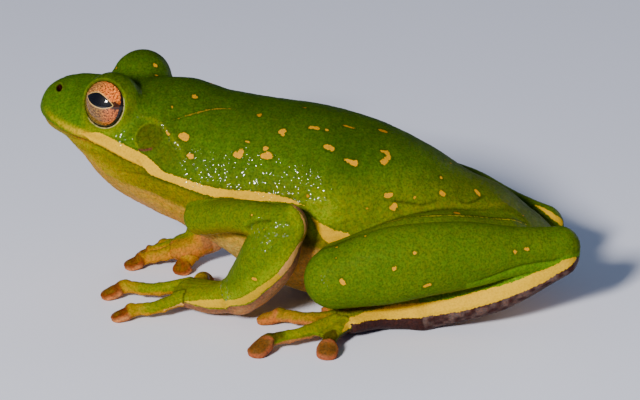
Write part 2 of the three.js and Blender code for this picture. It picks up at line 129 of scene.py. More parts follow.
LEGS = {
    "left": dict(
        thigh=[[3.4, 19.4, 7.0], [8.4, 12.0, 7.6], [12.0, 5.4, 7.0]],
        shank=[[13.0, 5.1, 6.5], [10.6, 14.4, 8.0], [5.8, 25.2, 8.0]],
        tarsus=[[5.9, 25.4, 7.0], [7.1, 19.2, 3.6], [7.6, 12.4, 1.68]],
        foot=[[7.6, 12.4, 1.68], [8.6, 8.6, 1.7], [11.0, 5.6, 1.7]],
        digits=[
            [[8.8, 7.2, 1.5], [7.0, 7.2, 1.2], [5.2, 7.4, 0.55]],
            [[9.6, 5.8, 1.6], [7.4, 4.6, 1.3], [5.3, 3.5, 0.55]],
            [[10.6, 5.0, 1.7], [9.9, 1.8, 1.2], [8.9, -0.9, 1.0], [8.7, -2.4, 0.55]],
            [[11.8, 4.8, 1.8], [14.6, 1.8, 1.4], [15.9, -0.8, 1.1], [17.4, -1.8, 0.55]],
            [[11.6, 6.0, 1.7], [13.6, 5.2, 1.5], [15.2, 4.7, 1.15], [17.0, 4.7, 0.55]],
        ],
    ),
    "right": dict(
        thigh=[[-3.0, 18.6, 6.6], [-8.2, 11.4, 7.4], [-12.2, 4.6, 6.8]],
        shank=[[-13.2, 4.3, 6.4], [-11.0, 13.0, 6.8], [-6.6, 22.7, 5.8]],
        tarsus=[[-6.6, 22.8, 5.0], [-7.8, 17.0, 3.1], [-8.2, 11.0, 1.68]],
        foot=[[-8.2, 11.0, 1.68], [-9.2, 7.2, 1.7], [-11.6, 4.2, 1.7]],
        digits=[
            [[-9.4, 5.8, 1.5], [-7.6, 5.6, 1.2], [-5.8, 5.6, 0.55]],
            [[-10.2, 4.4, 1.6], [-8.2, 2.6, 1.3], [-6.6, 1.0, 0.55]],
            [[-11.2, 3.6, 1.7], [-11.0, 0.2, 1.2], [-10.4, -2.4, 1.0], [-10.3, -4.0, 0.55]],
            [[-12.4, 3.4, 1.8], [-15.0, 0.2, 1.4], [-16.4, -2.4, 1.1], [-17.6, -3.6, 0.55]],
            [[-12.4, 4.6, 1.7], [-14.6, 3.4, 1.5], [-16.2, 2.4, 1.15], [-17.9, 2.0, 0.55]],
        ],
    ),
}


# ---------------------------------------------------------------- colours, as 8-bit sRGB
GREEN = (64, 92, 0)
GREEN_LIGHT = (80, 104, 0)
GREEN_BRIGHT = (88, 128, 2)
GREEN_YELLOW = (102, 108, 0)
GREEN_DARK = (32, 54, 4)
BAND_GREEN = (66, 74, 0)
OLIVE = (108, 98, 4)
JAW_YELLOW = (158, 134, 4)
CREAM = (186, 148, 72)
GOLD = (158, 122, 12)
PINK = (178, 124, 102)
ORANGE = (198, 124, 34)
BELLY_BROWN = (212, 146, 62)
LIP_BROWN = (136, 82, 34)
DRUM = (68, 76, 0)
DRUM_DARK = (50, 50, 0)
PURPLE = (90, 36, 40)
LID_DARK = (62, 54, 10)
LID_PALE = (176, 160, 112)
BLACK = (12, 10, 10)
NOSTRIL = (34, 8, 4)
MARK_YELLOW = (246, 184, 16)
STRIPE = (196, 152, 0)
TRIANGLE_YELLOW = (192, 148, 0)
SCAR = (126, 98, 22)
THIN_LINE = (150, 138, 6)
EDGE = (182, 146, 4)
TARSUS_STRIPE = (196, 154, 14)
SPOT = (188, 132, 0)
SPOT_FAINT = (166, 112, 0)
FLESH = (190, 132, 78)
UNDER_BROWN = (126, 82, 60)
FAR_ORANGE = (168, 102, 28)
FINGER_SIDE = (172, 118, 16)
DISC = (116, 58, 24)
DISC_DARK = (90, 42, 10)
DISC_PALE = (196, 124, 76)
THIGH_BACK = (130, 116, 28)
# dark underside skin, deepened with painted shade
UNDERSIDE_DARK_AND_SHADE = (56, 34, 34)
UNDER_GREY = (112, 90, 86)
TOE_OLIVE = (102, 106, 4)
FOOT_TOP = (126, 124, 0)
# a light green, laid as painted highlight and painted light
HIGHLIGHT_GREEN = (132, 150, 4)
TOE_CAP = (66, 56, 6)
TOE_SIDE = (166, 100, 58)
TOE_PINK = (148, 78, 50)

# one end, the other end and the radius of each yellow spot, and whether it is bright
SPOTS = [
    ((-5.34, -15.3, 20.95), (-5.34, -15.2, 20.9), 0.25, 1),
    ((-5.77, -19.0, 20.2), (-5.77, -19.0, 20.2), 0.13, 0),
    ((-4.47, -15.1, 20.0), (-4.47, -15.0, 20.0), 0.14, 0),
    ((0.89, -10.3, 19.9), (0.89, -10.15, 19.75), 0.23, 1),
    ((2.41, -12.2, 19.3), (2.45, -12.2, 19.1), 0.14, 0),
    ((-3.77, -9.5, 19.8), (-3.77, -9.3, 19.75), 0.16, 1),
    ((2.58, -3.83, 18.84), (2.58, -3.83, 18.84), 0.2, 0),
    ((-0.18, 0.3, 18.9), (-0.18, -0.1, 18.95), 0.15, 0),
    ((4.3, -1.2, 18.1), (4.42, -1.35, 17.8), 0.28, 1),
    ((4.66, -1.2, 17.5), (4.66, -1.2, 17.5), 0.17, 1),
    ((3.62, 1.8, 18.1), (3.62, 1.4, 18.15), 0.23, 1),
    ((3.52, 2.83, 18.0), (3.55, 2.85, 17.9), 0.2, 1),
    ((2.17, 5.25, 17.75), (2.17, 4.3, 18.0), 0.1, 0),
    ((0.73, 8.15, 17.1), (0.73, 7.7, 17.25), 0.28, 0),
    ((4.93, -10.9, 17.2), (5.0, -10.45, 17.0), 0.36, 1),
    ((4.45, -12.45, 17.35), (4.6, -12.2, 17.15), 0.12, 1),
    ((6.12, -10.0, 15.65), (6.12, -9.85, 15.55), 0.28, 1),
    ((5.51, -4.6, 17.06), (5.51, -4.4, 17.06), 0.15, 1),
    ((6.15, -4.95, 16.4), (6.4, -5.1, 16.0), 0.33, 1),
    ((6.4, -5.5, 16.05), (6.4, -4.9, 16.0), 0.2, 1),
    ((6.03, -2.64, 16.65), (6.05, -2.66, 16.6), 0.21, 1),
    ((6.5, -2.75, 16.1), (6.55, -2.2, 16.05), 0.33, 1),
    ((6.4, -2.4, 16.3), (6.5, -2.3, 16.1), 0.28, 1),
    ((5.44, 3.1, 16.9), (5.5, 3.65, 16.7), 0.31, 1),
    ((6.0, 5.05, 15.9), (6.05, 5.7, 15.65), 0.34, 1),
    ((4.0, 8.2, 16.25), (3.95, 8.75, 16.2), 0.17, 1),
    ((3.95, 8.75, 16.2), (4.35, 8.9, 15.8), 0.24, 1),
    ((4.35, 8.9, 15.8), (4.75, 8.5, 15.5), 0.25, 1),
    ((4.75, 8.5, 15.5), (4.9, 8.35, 15.3), 0.24, 1),
    ((-0.02, 14.4, 13.9), (-0.02, 13.6, 14.3), 0.1, 1),
    ((3.24, 13.71, 13.7), (3.26, 13.71, 13.6), 0.23, 1),
    ((8.63, 1.74, 13.0), (8.63, 1.74, 13.0), 0.12, 0),
    ((7.15, 9.0, 12.85), (7.05, 9.45, 12.95), 0.21, 1),
    ((6.27, 11.6, 12.6), (6.27, 11.55, 12.55), 0.19, 1),
    ((4.65, 13.95, 12.65), (4.75, 14.15, 12.5), 0.23, 1),
    ((2.35, 16.85, 12.0), (2.6, 17.1, 11.4), 0.22, 1),
    ((7.4, 9.8, 12.1), (7.5, 9.6, 11.85), 0.3, 1),
    ((8.22, 7.29, 11.91), (8.22, 7.29, 11.91), 0.16, 0),
    ((6.42, 15.7, 11.2), (6.42, 15.4, 11.25), 0.18, 0),
    ((1.7, 21.34, 9.38), (1.7, 21.34, 9.38), 0.12, 0),
    ((7.67, 15.56, 11.06), (7.67, 15.56, 11.06), 0.13, 0),
    ((9.29, 12.69, 11.19), (9.29, 12.69, 11.19), 0.11, 0),
    ((12.59, 7.67, 10.7), (12.59, 7.67, 10.7), 0.12, 1),
    ((13.22, 5.12, 9.71), (13.22, 5.12, 9.71), 0.11, 1),
    ((14.44, 5.2, 9.06), (14.44, 5.2, 9.06), 0.11, 1),
    ((13.6, 12.6, 9.6), (13.6, 12.4, 9.64), 0.16, 1),
    ((14.4, 10.8, 8.25), (14.4, 10.65, 8.2), 0.2, 1),
    ((15.35, 5.8, 7.15), (15.35, 6.0, 6.9), 0.24, 1),
    ((13.34, 13.35, 6.3), (13.34, 13.85, 6.45), 0.17, 1),
    ((9.69, 21.44, 8.81), (9.69, 21.44, 8.81), 0.16, 1),
    ((9.05, 22.4, 8.9), (9.05, 22.6, 8.9), 0.14, 1),
    ((13.85, -1.65, 11.28), (13.85, -1.65, 11.28), 0.11, 1),
    ((14.13, -2.7, 6.48), (14.13, -2.45, 6.48), 0.17, 1),
    ((12.61, -2.97, 12.27), (12.61, -2.97, 12.27), 0.11, 1),
]

# places where the skin is wettest, and how far each reaches, in mm
WET = [
    ((6.2, -9.0, 14.3), 2.6), ((7.0, -5.0, 15.0), 2.8), ((7.65, -2.0, 14.5), 2.8), ((8.0, 0.9, 14.2), 2.4),
    ((8.3, 2.8, 13.6), 1.6), ((13.7, -2.2, 10.3), 1.9), ((14.4, 0.0, 11.6), 1.3), ((13.2, -1.6, 12.5), 1.0),
    ((10.9, -5.9, 4.0), 1.6), ((15.4, 4.0, 6.8), 1.1),
]
EDGE_DULL = (188, 138, 74)
LIP_GREEN = (130, 124, 2)


# ---------------------------------------------------------------- small tools
def smooth(a, b, x):
    t = np.clip((x - a) / (b - a), 0, 1)
    return t * t * (3 - 2 * t)


def smin(a, b, k):
    h = np.maximum(k - np.abs(a - b), 0) / k
    return np.minimum(a, b) - h * h * k * F(0.25)


def smax(a, b, k):
    return -smin(-a, -b, k)


def through(rows, n=257):
    """The solids' own curve through the rows, as a table: (x, values at x)."""
    r = np.array(rows, float)
    x, v = r[:, 0], r[:, 1:]
    h = np.diff(x)
    d = np.diff(v, axis=0) / h[:, None]
    m = np.zeros_like(v)
    m[0], m[-1] = d[0], d[-1]
    for i in range(1, len(x) - 1):
        a, b = h[i - 1], h[i]
        same = d[i - 1] * d[i] > 0
        with np.errstate(divide="ignore", invalid="ignore"):
            s = 3 * (a + b) / ((2 * b + a) / d[i - 1] + (b + 2 * a) / d[i])
        m[i] = np.where(same, s, 0)
    at = np.linspace(x[0], x[-1], n)
    i = np.clip(np.searchsorted(x, at, side="right") - 1, 0, len(x) - 2)
    t = ((at - x[i]) / h[i])[:, None]
    hh = h[i][:, None]
    out = (
        (2 * t**3 - 3 * t**2 + 1) * v[i]
        + (t**3 - 2 * t**2 + t) * hh * m[i]
        + (3 * t**2 - 2 * t**3) * v[i + 1]
        + (t**3 - t**2) * hh * m[i + 1]
    )
    return at, out


def lookup(x, table):
    """Rows of an evenly spaced table at x, in float32."""
    at, v = table
    u = np.clip((x - at[0]) / (at[-1] - at[0]), 0, 1) * (len(at) - 1)
    i = np.minimum(u.astype(np.int32), len(at) - 2)
    w = (u - i).astype(F)[:, None]
    v = v.astype(F)
    return v[i] * (1 - w) + v[i + 1] * w


def spline(points, n=97):
    """A centripetal Catmull-Rom spine, resampled evenly by length."""
    p = np.array(points, float)
    ext = np.vstack([2 * p[0] - p[1], p, 2 * p[-1] - p[-2]])
    dense = []
    for i in range(len(p) - 1):
        p0, p1, p2, p3 = ext[i : i + 4]
        d0, d1, d2 = (np.linalg.norm(b - a) ** 0.5 for a, b in ((p0, p1), (p1, p2), (p2, p3)))
        t1 = ((p1 - p0) / d0 - (p2 - p0) / (d0 + d1) + (p2 - p1) / d1) * d1
        t2 = ((p2 - p1) / d1 - (p3 - p1) / (d1 + d2) + (p3 - p2) / d2) * d1
        t = np.linspace(0, 1, 120, endpoint=i == len(p) - 2)[:, None]
        dense.append(
            p1 + t1 * t + (-3 * p1 + 3 * p2 - 2 * t1 - t2) * t**2 + (2 * p1 - 2 * p2 + t1 + t2) * t**3
        )
    d = np.vstack(dense)
    s = np.r_[0, np.cumsum(np.linalg.norm(np.diff(d, axis=0), axis=1))]
    at = np.linspace(0, s[-1], n)
    c = np.stack([np.interp(at, s, d[:, k]) for k in range(3)], 1)
    tangent = np.gradient(c, axis=0)
    tangent /= np.linalg.norm(tangent, axis=1)[:, None]
    return c, tangent, s[-1]


def ring_level(a, u, half, above, below, n, top, base):
    """How many times its ring a point lies out, with the rings that the solids have."""
    h = np.where(u > 0, above, below)
    U = np.abs(u) / h
    narrow = np.where(u > 0, top, base)
    X = np.abs(a) / half
    q = np.sqrt(X * X + U * U) + F(1e-4)
    for _ in range(2):
        lean = 1 - narrow * np.minimum(U / q, 1) ** (n * F(0.5))
        q = ((X / lean) ** n + U**n) ** (1 / n) + F(1e-4)
    return q


class Hull:
    def __init__(self, rows, cap_front, cap_back, box):
        self.rows, self.c0, self.c1 = through(rows), cap_front, cap_back
        self.y0, self.y1 = rows[0][0], rows[-1][0]
        self.lo, self.hi = np.array(box[0], F), np.array(box[1], F)

    def __call__(self, p):
        y = p[:, 1]
        r = lookup(y, self.rows)
        a, u = p[:, 0] - r[:, 0], p[:, 2] - r[:, 1]
        t = np.maximum(np.maximum(self.c0 - (y - self.y0), 0) / self.c0, 0)
        e = np.maximum(self.c1 - (self.y1 - y), 0) / self.c1
        n = r[:, 5]
        q = ring_level(a, u, r[:, 2], r[:, 3], r[:, 4], n, r[:, 6], r[:, 7])
        Q = np.sqrt(q * q + t * t + e * e)
        w = np.sqrt(a * a + u * u + (t * self.c0) ** 2 + (e * self.c1) ** 2)
        return w * (1 - 1 / Q)


class Limb:
    def __init__(self, points, rows, top=(0, 0, 1), caps=None):
        self.c, self.t, self.length = spline(points)
        r = np.array(rows, float)
        self.rows = through(rows)
        self.c0, self.c1 = caps or (r[0, 2], r[-1, 2])
        up = np.array(top, float)[None] - (self.t @ np.array(top, float))[:, None] * self.t
        up /= np.linalg.norm(up, axis=1)[:, None]
        self.up, self.across = up, np.cross(self.t, up)
        reach = r[:, 1:].max() + max(self.c0, self.c1) * 0.5
        self.lo = (self.c.min(0) - reach).astype(F)
        self.hi = (self.c.max(0) + reach).astype(F)
        self.table = (np.linspace(0, 1, len(self.c)), np.hstack([self.c, self.t, self.up, self.across]))

    def coords(self, p):
        """Along the spine from 0 to 1, across, up, and how far past either end, in mm."""
        c = self.c[::2].astype(F)
        best = np.full(len(p), 1e9, F)
        near = np.zeros(len(p), np.int32)
        for i, q in enumerate(c):
            d = (p[:, 0] - q[0]) ** 2 + (p[:, 1] - q[1]) ** 2 + (p[:, 2] - q[2]) ** 2
            closer = d < best
            best = np.where(closer, d, best)
            near[closer] = i
        near = near * 2
        n1 = len(self.c) - 1
        s = (near / n1).astype(F)
        for _ in range(2):
            f = lookup(s, self.table)
            along = ((p - f[:, :3]) * f[:, 3:6]).sum(1)
            s = np.clip(s + along / self.length, 0, 1).astype(F)
        f = lookup(s, self.table)
        v = p - f[:, :3]
        past = (v * f[:, 3:6]).sum(1)
        past = np.where((s <= 0) & (past < 0), past, np.where((s >= 1) & (past > 0), past, 0))
        return s, (v * f[:, 9:12]).sum(1), (v * f[:, 6:9]).sum(1), past

    def __call__(self, p):
        s, a, u, past = self.coords(p)
        r = lookup(s, self.rows)
        t = np.where(past < 0, past / self.c0, past / self.c1)
        h = np.where(u > 0, r[:, 1], r[:, 2])
        q2 = (a / r[:, 0]) ** 2 + (u / h) ** 2 + t * t
        Q = np.sqrt(q2) + F(1e-4)
        return np.sqrt(a * a + u * u + past * past) * (1 - 1 / Q)


def head_axes():
    """Rows: the head's X, Y and Z in the stance's frame."""
    cx, sx = math.cos(-HEAD_PITCH), math.sin(-HEAD_PITCH)
    cz, sz = math.cos(HEAD_YAW), math.sin(HEAD_YAW)
    rx = np.array([[1, 0, 0], [0, cx, -sx], [0, sx, cx]])
    rz = np.array([[cz, -sz, 0], [sz, cz, 0], [0, 0, 1]])
    return (rz @ rx).T


HEAD_AXES = head_axes()
to_head = lambda p: (p - HEAD_TIP.astype(F)) @ HEAD_AXES.T.astype(F)
from_head = lambda p: np.asarray(p, float) @ HEAD_AXES + HEAD_TIP


def gaze(side, forward=GAZE_FORWARD, up=GAZE_UP):
    """Which way an eye looks, in the head's frame."""
    return np.array([side * math.cos(forward) * math.cos(up), -math.sin(forward) * math.cos(up), math.sin(up)])


# ---------------------------------------------------------------- the field
head_hull = Hull(HEAD, 3.0, 6.0, ([-9, 0, -8], [9, 23, 8]))
trunk_hull = Hull(TRUNK, 3.0, 3.0, ([-12, -19, -2], [12, 26, 24]))


class Side:
    def __init__(self, name):
        arm, leg = ARMS[name], LEGS[name]
        self.upper = Limb(arm["upper"], UPPER_ARM)
        self.fore = Limb(arm["fore"], FOREARM, (0, -1, 0.6))
        self.palm = Limb(arm["palm"], PALM)
        self.fingers = [Limb(d, DIGIT, (0, 0, 1), DIGIT_CAPS) for d in arm["digits"]]
        self.thigh = Limb(leg["thigh"], THIGH)
        self.shank = Limb(leg["shank"], SHANK)
        self.tarsus = Limb(leg["tarsus"], TARSUS)
        self.foot = Limb(leg["foot"], FOOT)
        self.toes = [Limb(d, DIGIT, (0, 0, 1), DIGIT_CAPS) for d in leg["digits"]]
        self.shoulder, self.elbow, self.wrist = (np.array(arm[k][0], F) for k in ("upper", "fore", "palm"))
        self.hip, self.knee = (np.array(leg[k][0], F) for k in ("thigh", "shank"))
        self.ankle, self.instep = (np.array(leg[k][0], F) for k in ("tarsus", "foot"))


SIDES = {n: Side(n) for n in ("left", "right")}
FAR = F(6.0)
MARGIN = F(2.2)


def local(p, part, fill=FAR, margin=MARGIN):
    """The part's field where it is near, and a large value elsewhere."""
    near = np.all((p > part.lo - margin) & (p < part.hi + margin), axis=1)
    out = np.full(len(p), fill, F)
    if near.any():
        out[near] = part(p[near])
    return out


def around(p, centre, radius):
    """1 at a point, falling off smoothly round it."""
    d = p - centre
    return np.exp(-(d * d).sum(1) / (radius * radius))


def join(p, a, b, at, k_joint, k_else=F(0.22), radius=3.0):
    """Two parts made one: smooth where they grow from each other, creased where they only touch."""
    return smin(a, b, k_else + (k_joint - k_else) * around(p, at, radius))


def eye_axes(side):
    """An eye's centre, the way its opening faces, and up and forward across it, in the head's frame."""
    e, g = (EYE_AT * [side, 1, 1]).astype(F), gaze(side).astype(F)
    up = np.array([0, 0, 1], F) - g * g[2]
    up /= np.linalg.norm(up)
    forward = np.cross(g, up) * side
    return e, g, up, forward


def opening(forward, up, across):
    """How far out along the gaze the lids' margin lies, by the way round the eye."""
    corner = (forward / across) ** 4
    top = np.maximum(up / across, 0) ** 2
    return LID_OPEN + 0.17 * corner + 0.10 * top


def lids(h, side):
    """The eye's bump, cut off flat where the eyeball comes out of it."""
    e, g, up, forward = eye_axes(side)
    v = h - e
    t = v @ g
    r = np.sqrt((v * v).sum(1))
    su, sf = v @ up, v @ forward
    across = np.sqrt(su * su + sf * sf) + F(1e-4)
    reach = LID_R - 0.20 * smooth(-0.8, 1.2, t)
    return smax(r - reach, t - opening(sf, su, across), F(0.1))


def head_field(p):
    h = to_head(p)
    f = local(h, head_hull)
    for side in (1, -1):
        e = (EYE_AT * [side, 1, 1]).astype(F)
        near = ((h - e) ** 2).sum(1) < 36
        if near.any():
            g = gaze(side).astype(F)
            f[near] = smin(f[near], lids(h[near], side), F(1.15))
            # nothing stands before the opening
            v = h[near] - e
            t = v @ g
            away = np.sqrt(np.maximum((v * v).sum(1) - t * t, 0))
            cone = np.where(t > 0, F(LID_OPEN) + F(0.1) + np.maximum(away - F(2.35), 0) * F(1.15), FAR) - t
            soft = F(0.15) + F(0.65) * smooth(2.45, 3.1, away).astype(F)
            f[near] = np.where(away < 5.0, smax(f[near], -cone, soft), f[near])
    return f, h


def body_field(p):
    f, h = head_field(p)
    w = smooth(-2.2, 2.2, h[:, 1] - HEAD_LENGTH).astype(F)
    t = local(p, trunk_hull)
    return f * (1 - w) + t * w, h


class Web:
    """Thin skin between two toes, as a sheet over a patch of the floor plan."""

    def __init__(self, a, b, reach_a, reach_b, thick=0.34, scoop=0.3):
        na, nb = (max(3, int(r * 96)) for r in (reach_a, reach_b))
        self.a, self.b = a.c[:na:4].astype(F), b.c[:nb:4].astype(F)
        ea, eb = self.a[-1], self.b[-1]
        root = (self.a[0] + self.b[0]) / 2
        u = np.linspace(0, 1, 9)[1:-1, None]
        edge = ea * (1 - u) + eb * u
        edge = edge + (root - edge) * (scoop * np.sin(np.pi * u))
        self.outline = np.vstack([self.a, edge, self.b[::-1]])[:, :2].astype(F)
        self.thick = thick
        pts = np.vstack([self.a, self.b])
        self.lo, self.hi = (pts.min(0) - 0.6).astype(F), (pts.max(0) + 0.6).astype(F)

    @staticmethod
    def nearest(xy, line):
        d = ((xy[:, None, :] - line[None, :, :2]) ** 2).sum(2)
        i = d.argmin(1)
        return np.sqrt(d[np.arange(len(xy)), i]), line[i, 2]

    def __call__(self, p):
        xy = p[:, :2]
        o, n = self.outline, len(self.outline)
        d = np.full(len(p), 1e9, F)
        inside = np.zeros(len(p), bool)
        for i in range(n):
            a, b = o[i], o[(i + 1) % n]
            e, w = b - a, xy - a
            t = np.clip((w @ e) / max(float(e @ e), 1e-9), 0, 1)
            d = np.minimum(d, ((w - t[:, None] * e) ** 2).sum(1))
            crosses = ((a[1] > xy[:, 1]) != (b[1] > xy[:, 1])) & (
                xy[:, 0] < e[0] * (xy[:, 1] - a[1]) / (e[1] if abs(e[1]) > 1e-9 else 1e-9) + a[0]
            )
            inside ^= crosses
        flat = np.where(inside, -1, 1) * np.sqrt(d)
        da, za = self.nearest(xy, self.a)
        db, zb = self.nearest(xy, self.b)
        z = (za * db + zb * da) / (da + db + 1e-6)
        return smax(np.abs(p[:, 2] - z) - F(self.thick / 2), flat.astype(F), F(0.1))


WEBS = {}
for _name, _s in SIDES.items():
    t, f = _s.toes, _s.fingers
    WEBS[_name, "hind"] = [
        Web(t[0], t[1], 0.5, 0.45),
        Web(t[1], t[2], 0.5, 0.38),
        Web(t[2], t[3], 0.5, 0.42, scoop=0.4),
        Web(t[3], t[4], 0.7, 0.76, scoop=0.24),
    ]
    WEBS[_name, "fore"] = [Web(f[2], f[3], 0.3, 0.32, scoop=0.4), Web(f[1], f[2], 0.2, 0.15, scoop=0.4)]


def arm_field(p, name):
    s = SIDES[name]
    upper, fore, palm = (local(p, x) for x in (s.upper, s.fore, s.palm))
    f = join(p, upper, fore, s.elbow, F(0.9))
    f = join(p, f, palm, s.wrist, F(0.9))
    hand = np.full(len(p), FAR, F)
    for d in s.fingers:
        hand = smin(hand, local(p, d), F(0.2))
    for w in WEBS[name, "fore"]:
        hand = smin(hand, local(p, w), F(0.25))
    return smin(f, hand, F(0.5))


def leg_field(p, name, body):
    s = SIDES[name]
    thigh, shank, tarsus, foot = (local(p, x) for x in (s.thigh, s.shank, s.tarsus, s.foot))
    f = join(p, body, thigh, s.hip, F(1.6), F(0.3), 5.0)
    f = join(p, f, shank, s.knee, F(0.9), F(0.16), 2.6)
    f = join(p, f, tarsus, s.ankle, F(0.8), F(0.16), 2.4)
    f = join(p, f, foot, s.instep, F(0.8), F(0.16), 3.0)
    toes = np.full(len(p), FAR, F)
    for d in s.toes:
        toes = smin(toes, local(p, d), F(0.2))
    for w in WEBS[name, "hind"]:
        toes = smin(toes, local(p, w), F(0.25))
    return join(p, f, toes, s.foot.c[-1].astype(F), F(0.5), F(0.16), 3.5)


SOLE = F(0.012)  # the flats lie this far over the floor


def field(p):
    p = np.ascontiguousarray(p, F)
    f, _ = body_field(p)
    for name, s in SIDES.items():
        arm = arm_field(p, name)
        f = join(p, f, arm, s.shoulder + np.array([2.0 if name == "left" else -2.0, 0, 0], F), F(1.3), F(0.25), 3.2)
        f = leg_field(p, name, f)
    return smax(f, SOLE - p[:, 2], F(0.12))


def slope(p, e=0.02):
    """The field's gradient, from four points."""
    k = np.array([[1, -1, -1], [-1, -1, 1], [-1, 1, -1], [1, 1, 1]], F)
    g = np.zeros((len(p), 3), F)
    for d in k:
        g += d * field(p + d * F(e))[:, None]
    return g / (4 * e)


# ---------------------------------------------------------------- from field to mesh
def mesh_of(lo, hi, voxel):
    """Surface nets: one vertex in each cell that the surface crosses, and a quad across each edge that it crosses."""
    n = np.ceil((np.array(hi) - lo) / voxel).astype(int) + 1
    axes = [lo[i] + voxel * np.arange(n[i]) for i in range(3)]
    values = np.empty(tuple(n), F)
    step = max(1, int(600_000 / (n[1] * n[2])))
    for i in range(0, n[0], step):
        part = np.stack(np.meshgrid(axes[0][i : i + step], axes[1], axes[2], indexing="ij"), -1)
        values[i : i + step] = field(part.reshape(-1, 3)).reshape(part.shape[:3])
    inside = values < 0
    corners = [(i, j, k) for i in (0, 1) for j in (0, 1) for k in (0, 1)]
    view = lambda a, c: a[c[0] : n[0] - 1 + c[0], c[1] : n[1] - 1 + c[1], c[2] : n[2] - 1 + c[2]]
    count = sum(view(inside, c).astype(np.int8) for c in corners)
    cell = np.argwhere((count > 0) & (count < 8))
    index = np.full(tuple(n - 1), -1, np.int32)
    index[tuple(cell.T)] = np.arange(len(cell))
    total = np.zeros((len(cell), 3))
    hits = np.zeros(len(cell))
    for c in corners:
        for axis in range(3):
            if c[axis]:
                continue
            d = list(c)
            d[axis] = 1
            a = values[tuple((cell + c).T)]
            b = values[tuple((cell + d).T)]
            cross = (a < 0) != (b < 0)
            t = a / np.where(cross, a - b, 1)
            at = np.tile(np.array(c, float), (len(cell), 1))
            at[:, axis] = t
            total += np.where(cross[:, None], at, 0)
            hits += cross
    verts = np.array(lo) + (cell + total / hits[:, None]) * voxel
    quads = []
    for axis in range(3):
        b, c = (axis + 1) % 3, (axis + 2) % 3
        sl0 = [slice(1, -1)] * 3
        sl1 = [slice(1, -1)] * 3
        sl0[axis], sl1[axis] = slice(0, -1), slice(1, None)
        a0, a1 = inside[tuple(sl0)], inside[tuple(sl1)]
        edge = np.argwhere(a0 != a1)
        out = a0[tuple(edge.T)]
        base = edge + 1
        base[:, axis] -= 1
        four = []
        for db, dc in ((-1, -1), (0, -1), (0, 0), (-1, 0)):
            q = base.copy()
            q[:, b] += db
            q[:, c] += dc
            four.append(index[tuple(q.T)])
        q = np.stack(four, 1)
        q[~out] = q[~out][:, ::-1]
        quads.append(q)
    return verts.astype(F), np.vstack(quads)


def largest_piece(v, q):
    """Only the mesh's largest connected piece, without sealed pockets."""
    label = np.arange(len(v))
    pairs = np.vstack([q[:, [0, 1]], q[:, [1, 2]], q[:, [2, 3]], q[:, [3, 0]]])
    while True:
        low = np.minimum(label[pairs[:, 0]], label[pairs[:, 1]])
        new = label.copy()
        np.minimum.at(new, pairs[:, 0], low)
        np.minimum.at(new, pairs[:, 1], low)
        new = new[new]
        new = new[new]
        if (new == label).all():
            break
        label = new
    main = np.bincount(label).argmax()
    keep = label == main
    number = np.cumsum(keep) - 1
    return v[keep], number[q[keep[q].all(1)]]


def relax(v, q, times=1, amount=0.5):
    """Evens the mesh out, by each vertex's neighbours."""
    for _ in range(times):
        total = np.zeros((len(v), 3))
        hits = np.zeros(len(v))
        for i in range(4):
            a, b = q[:, i], q[:, (i + 1) % 4]
            for k in range(3):
                total[:, k] += np.bincount(a, v[b, k], len(v)) + np.bincount(b, v[a, k], len(v))
            hits += np.bincount(a, minlength=len(v)) + np.bincount(b, minlength=len(v))
        v = v + (amount * (total / hits[:, None] - v)).astype(F)
    return v


def settle(v, times=1, limit=0.2, chunk=250_000):
    """Moves the vertices onto the surface, and gives its normals there."""
    n = np.empty_like(v)
    v = v.copy()
    for _ in range(times):
        for i in range(0, len(v), chunk):
            p = v[i : i + chunk]
            g = slope(p)
            size = np.sqrt((g * g).sum(1)) + F(1e-6)
            n[i : i + chunk] = g / size[:, None]
            move = np.clip(field(p) / np.maximum(size, 0.3), -limit, limit)
            v[i : i + chunk] = p - n[i : i + chunk] * move[:, None]
    return v, n


def divide(v, q, uv, chosen=None):
    """Parts each chosen quad in four. A neighbour that isn't parted takes its new edge points in and has more sides."""
    if chosen is None:
        chosen = np.ones(len(q), bool)
    c, cuv = q[chosen], uv[chosen]
    e = np.stack([c, np.roll(c, -1, 1)], 2).reshape(-1, 2)
    key = np.sort(e, 1)
    key = key[:, 0].astype(np.int64) * len(v) + key[:, 1]
    uniq, back = np.unique(key, return_inverse=True)
    a, b = uniq // len(v), uniq % len(v)
    mid = (v[a] + v[b]) / 2
    centre = v[c].mean(1)
    m = (len(v) + back).reshape(-1, 4)
    k = len(v) + len(mid) + np.arange(len(c))
    new = np.concatenate([np.stack([c[:, i], m[:, i], k, m[:, i - 1]], 1) for i in range(4)])
    muv = (cuv + np.roll(cuv, -1, 1)) / 2
    kuv = cuv.mean(1)
    new_uv = np.concatenate([np.stack([cuv[:, i], muv[:, i], kuv, muv[:, i - 1]], 1) for i in range(4)])
    rest, rest_uv = q[~chosen], uv[~chosen]
    loose, loose_uv = [], []
    if len(rest):
        e = np.stack([rest, np.roll(rest, -1, 1)], 2)
        key = np.sort(e.reshape(-1, 2), 1)
        key = key[:, 0].astype(np.int64) * len(v) + key[:, 1]
        at = np.minimum(np.searchsorted(uniq, key), len(uniq) - 1)
        has = (uniq[at] == key).reshape(-1, 4)
        at = at.reshape(-1, 4)
        border = has.any(1)
        for f, fuv, h, i in zip(rest[border], rest_uv[border], has[border], at[border]):
            ring, ring_uv = [], []
            for j in range(4):
                ring.append(int(f[j]))
                ring_uv.append(fuv[j])
                if h[j]:
                    ring.append(len(v) + int(i[j]))
                    ring_uv.append((fuv[j] + fuv[(j + 1) % 4]) / 2)
            loose.append(ring)
            loose_uv.append(np.array(ring_uv))
        rest, rest_uv = rest[~border], rest_uv[~border]
    v = np.vstack([v, mid, centre]).astype(F)
    return v, np.vstack([new, rest]), np.concatenate([new_uv, rest_uv]), loose, loose_uv


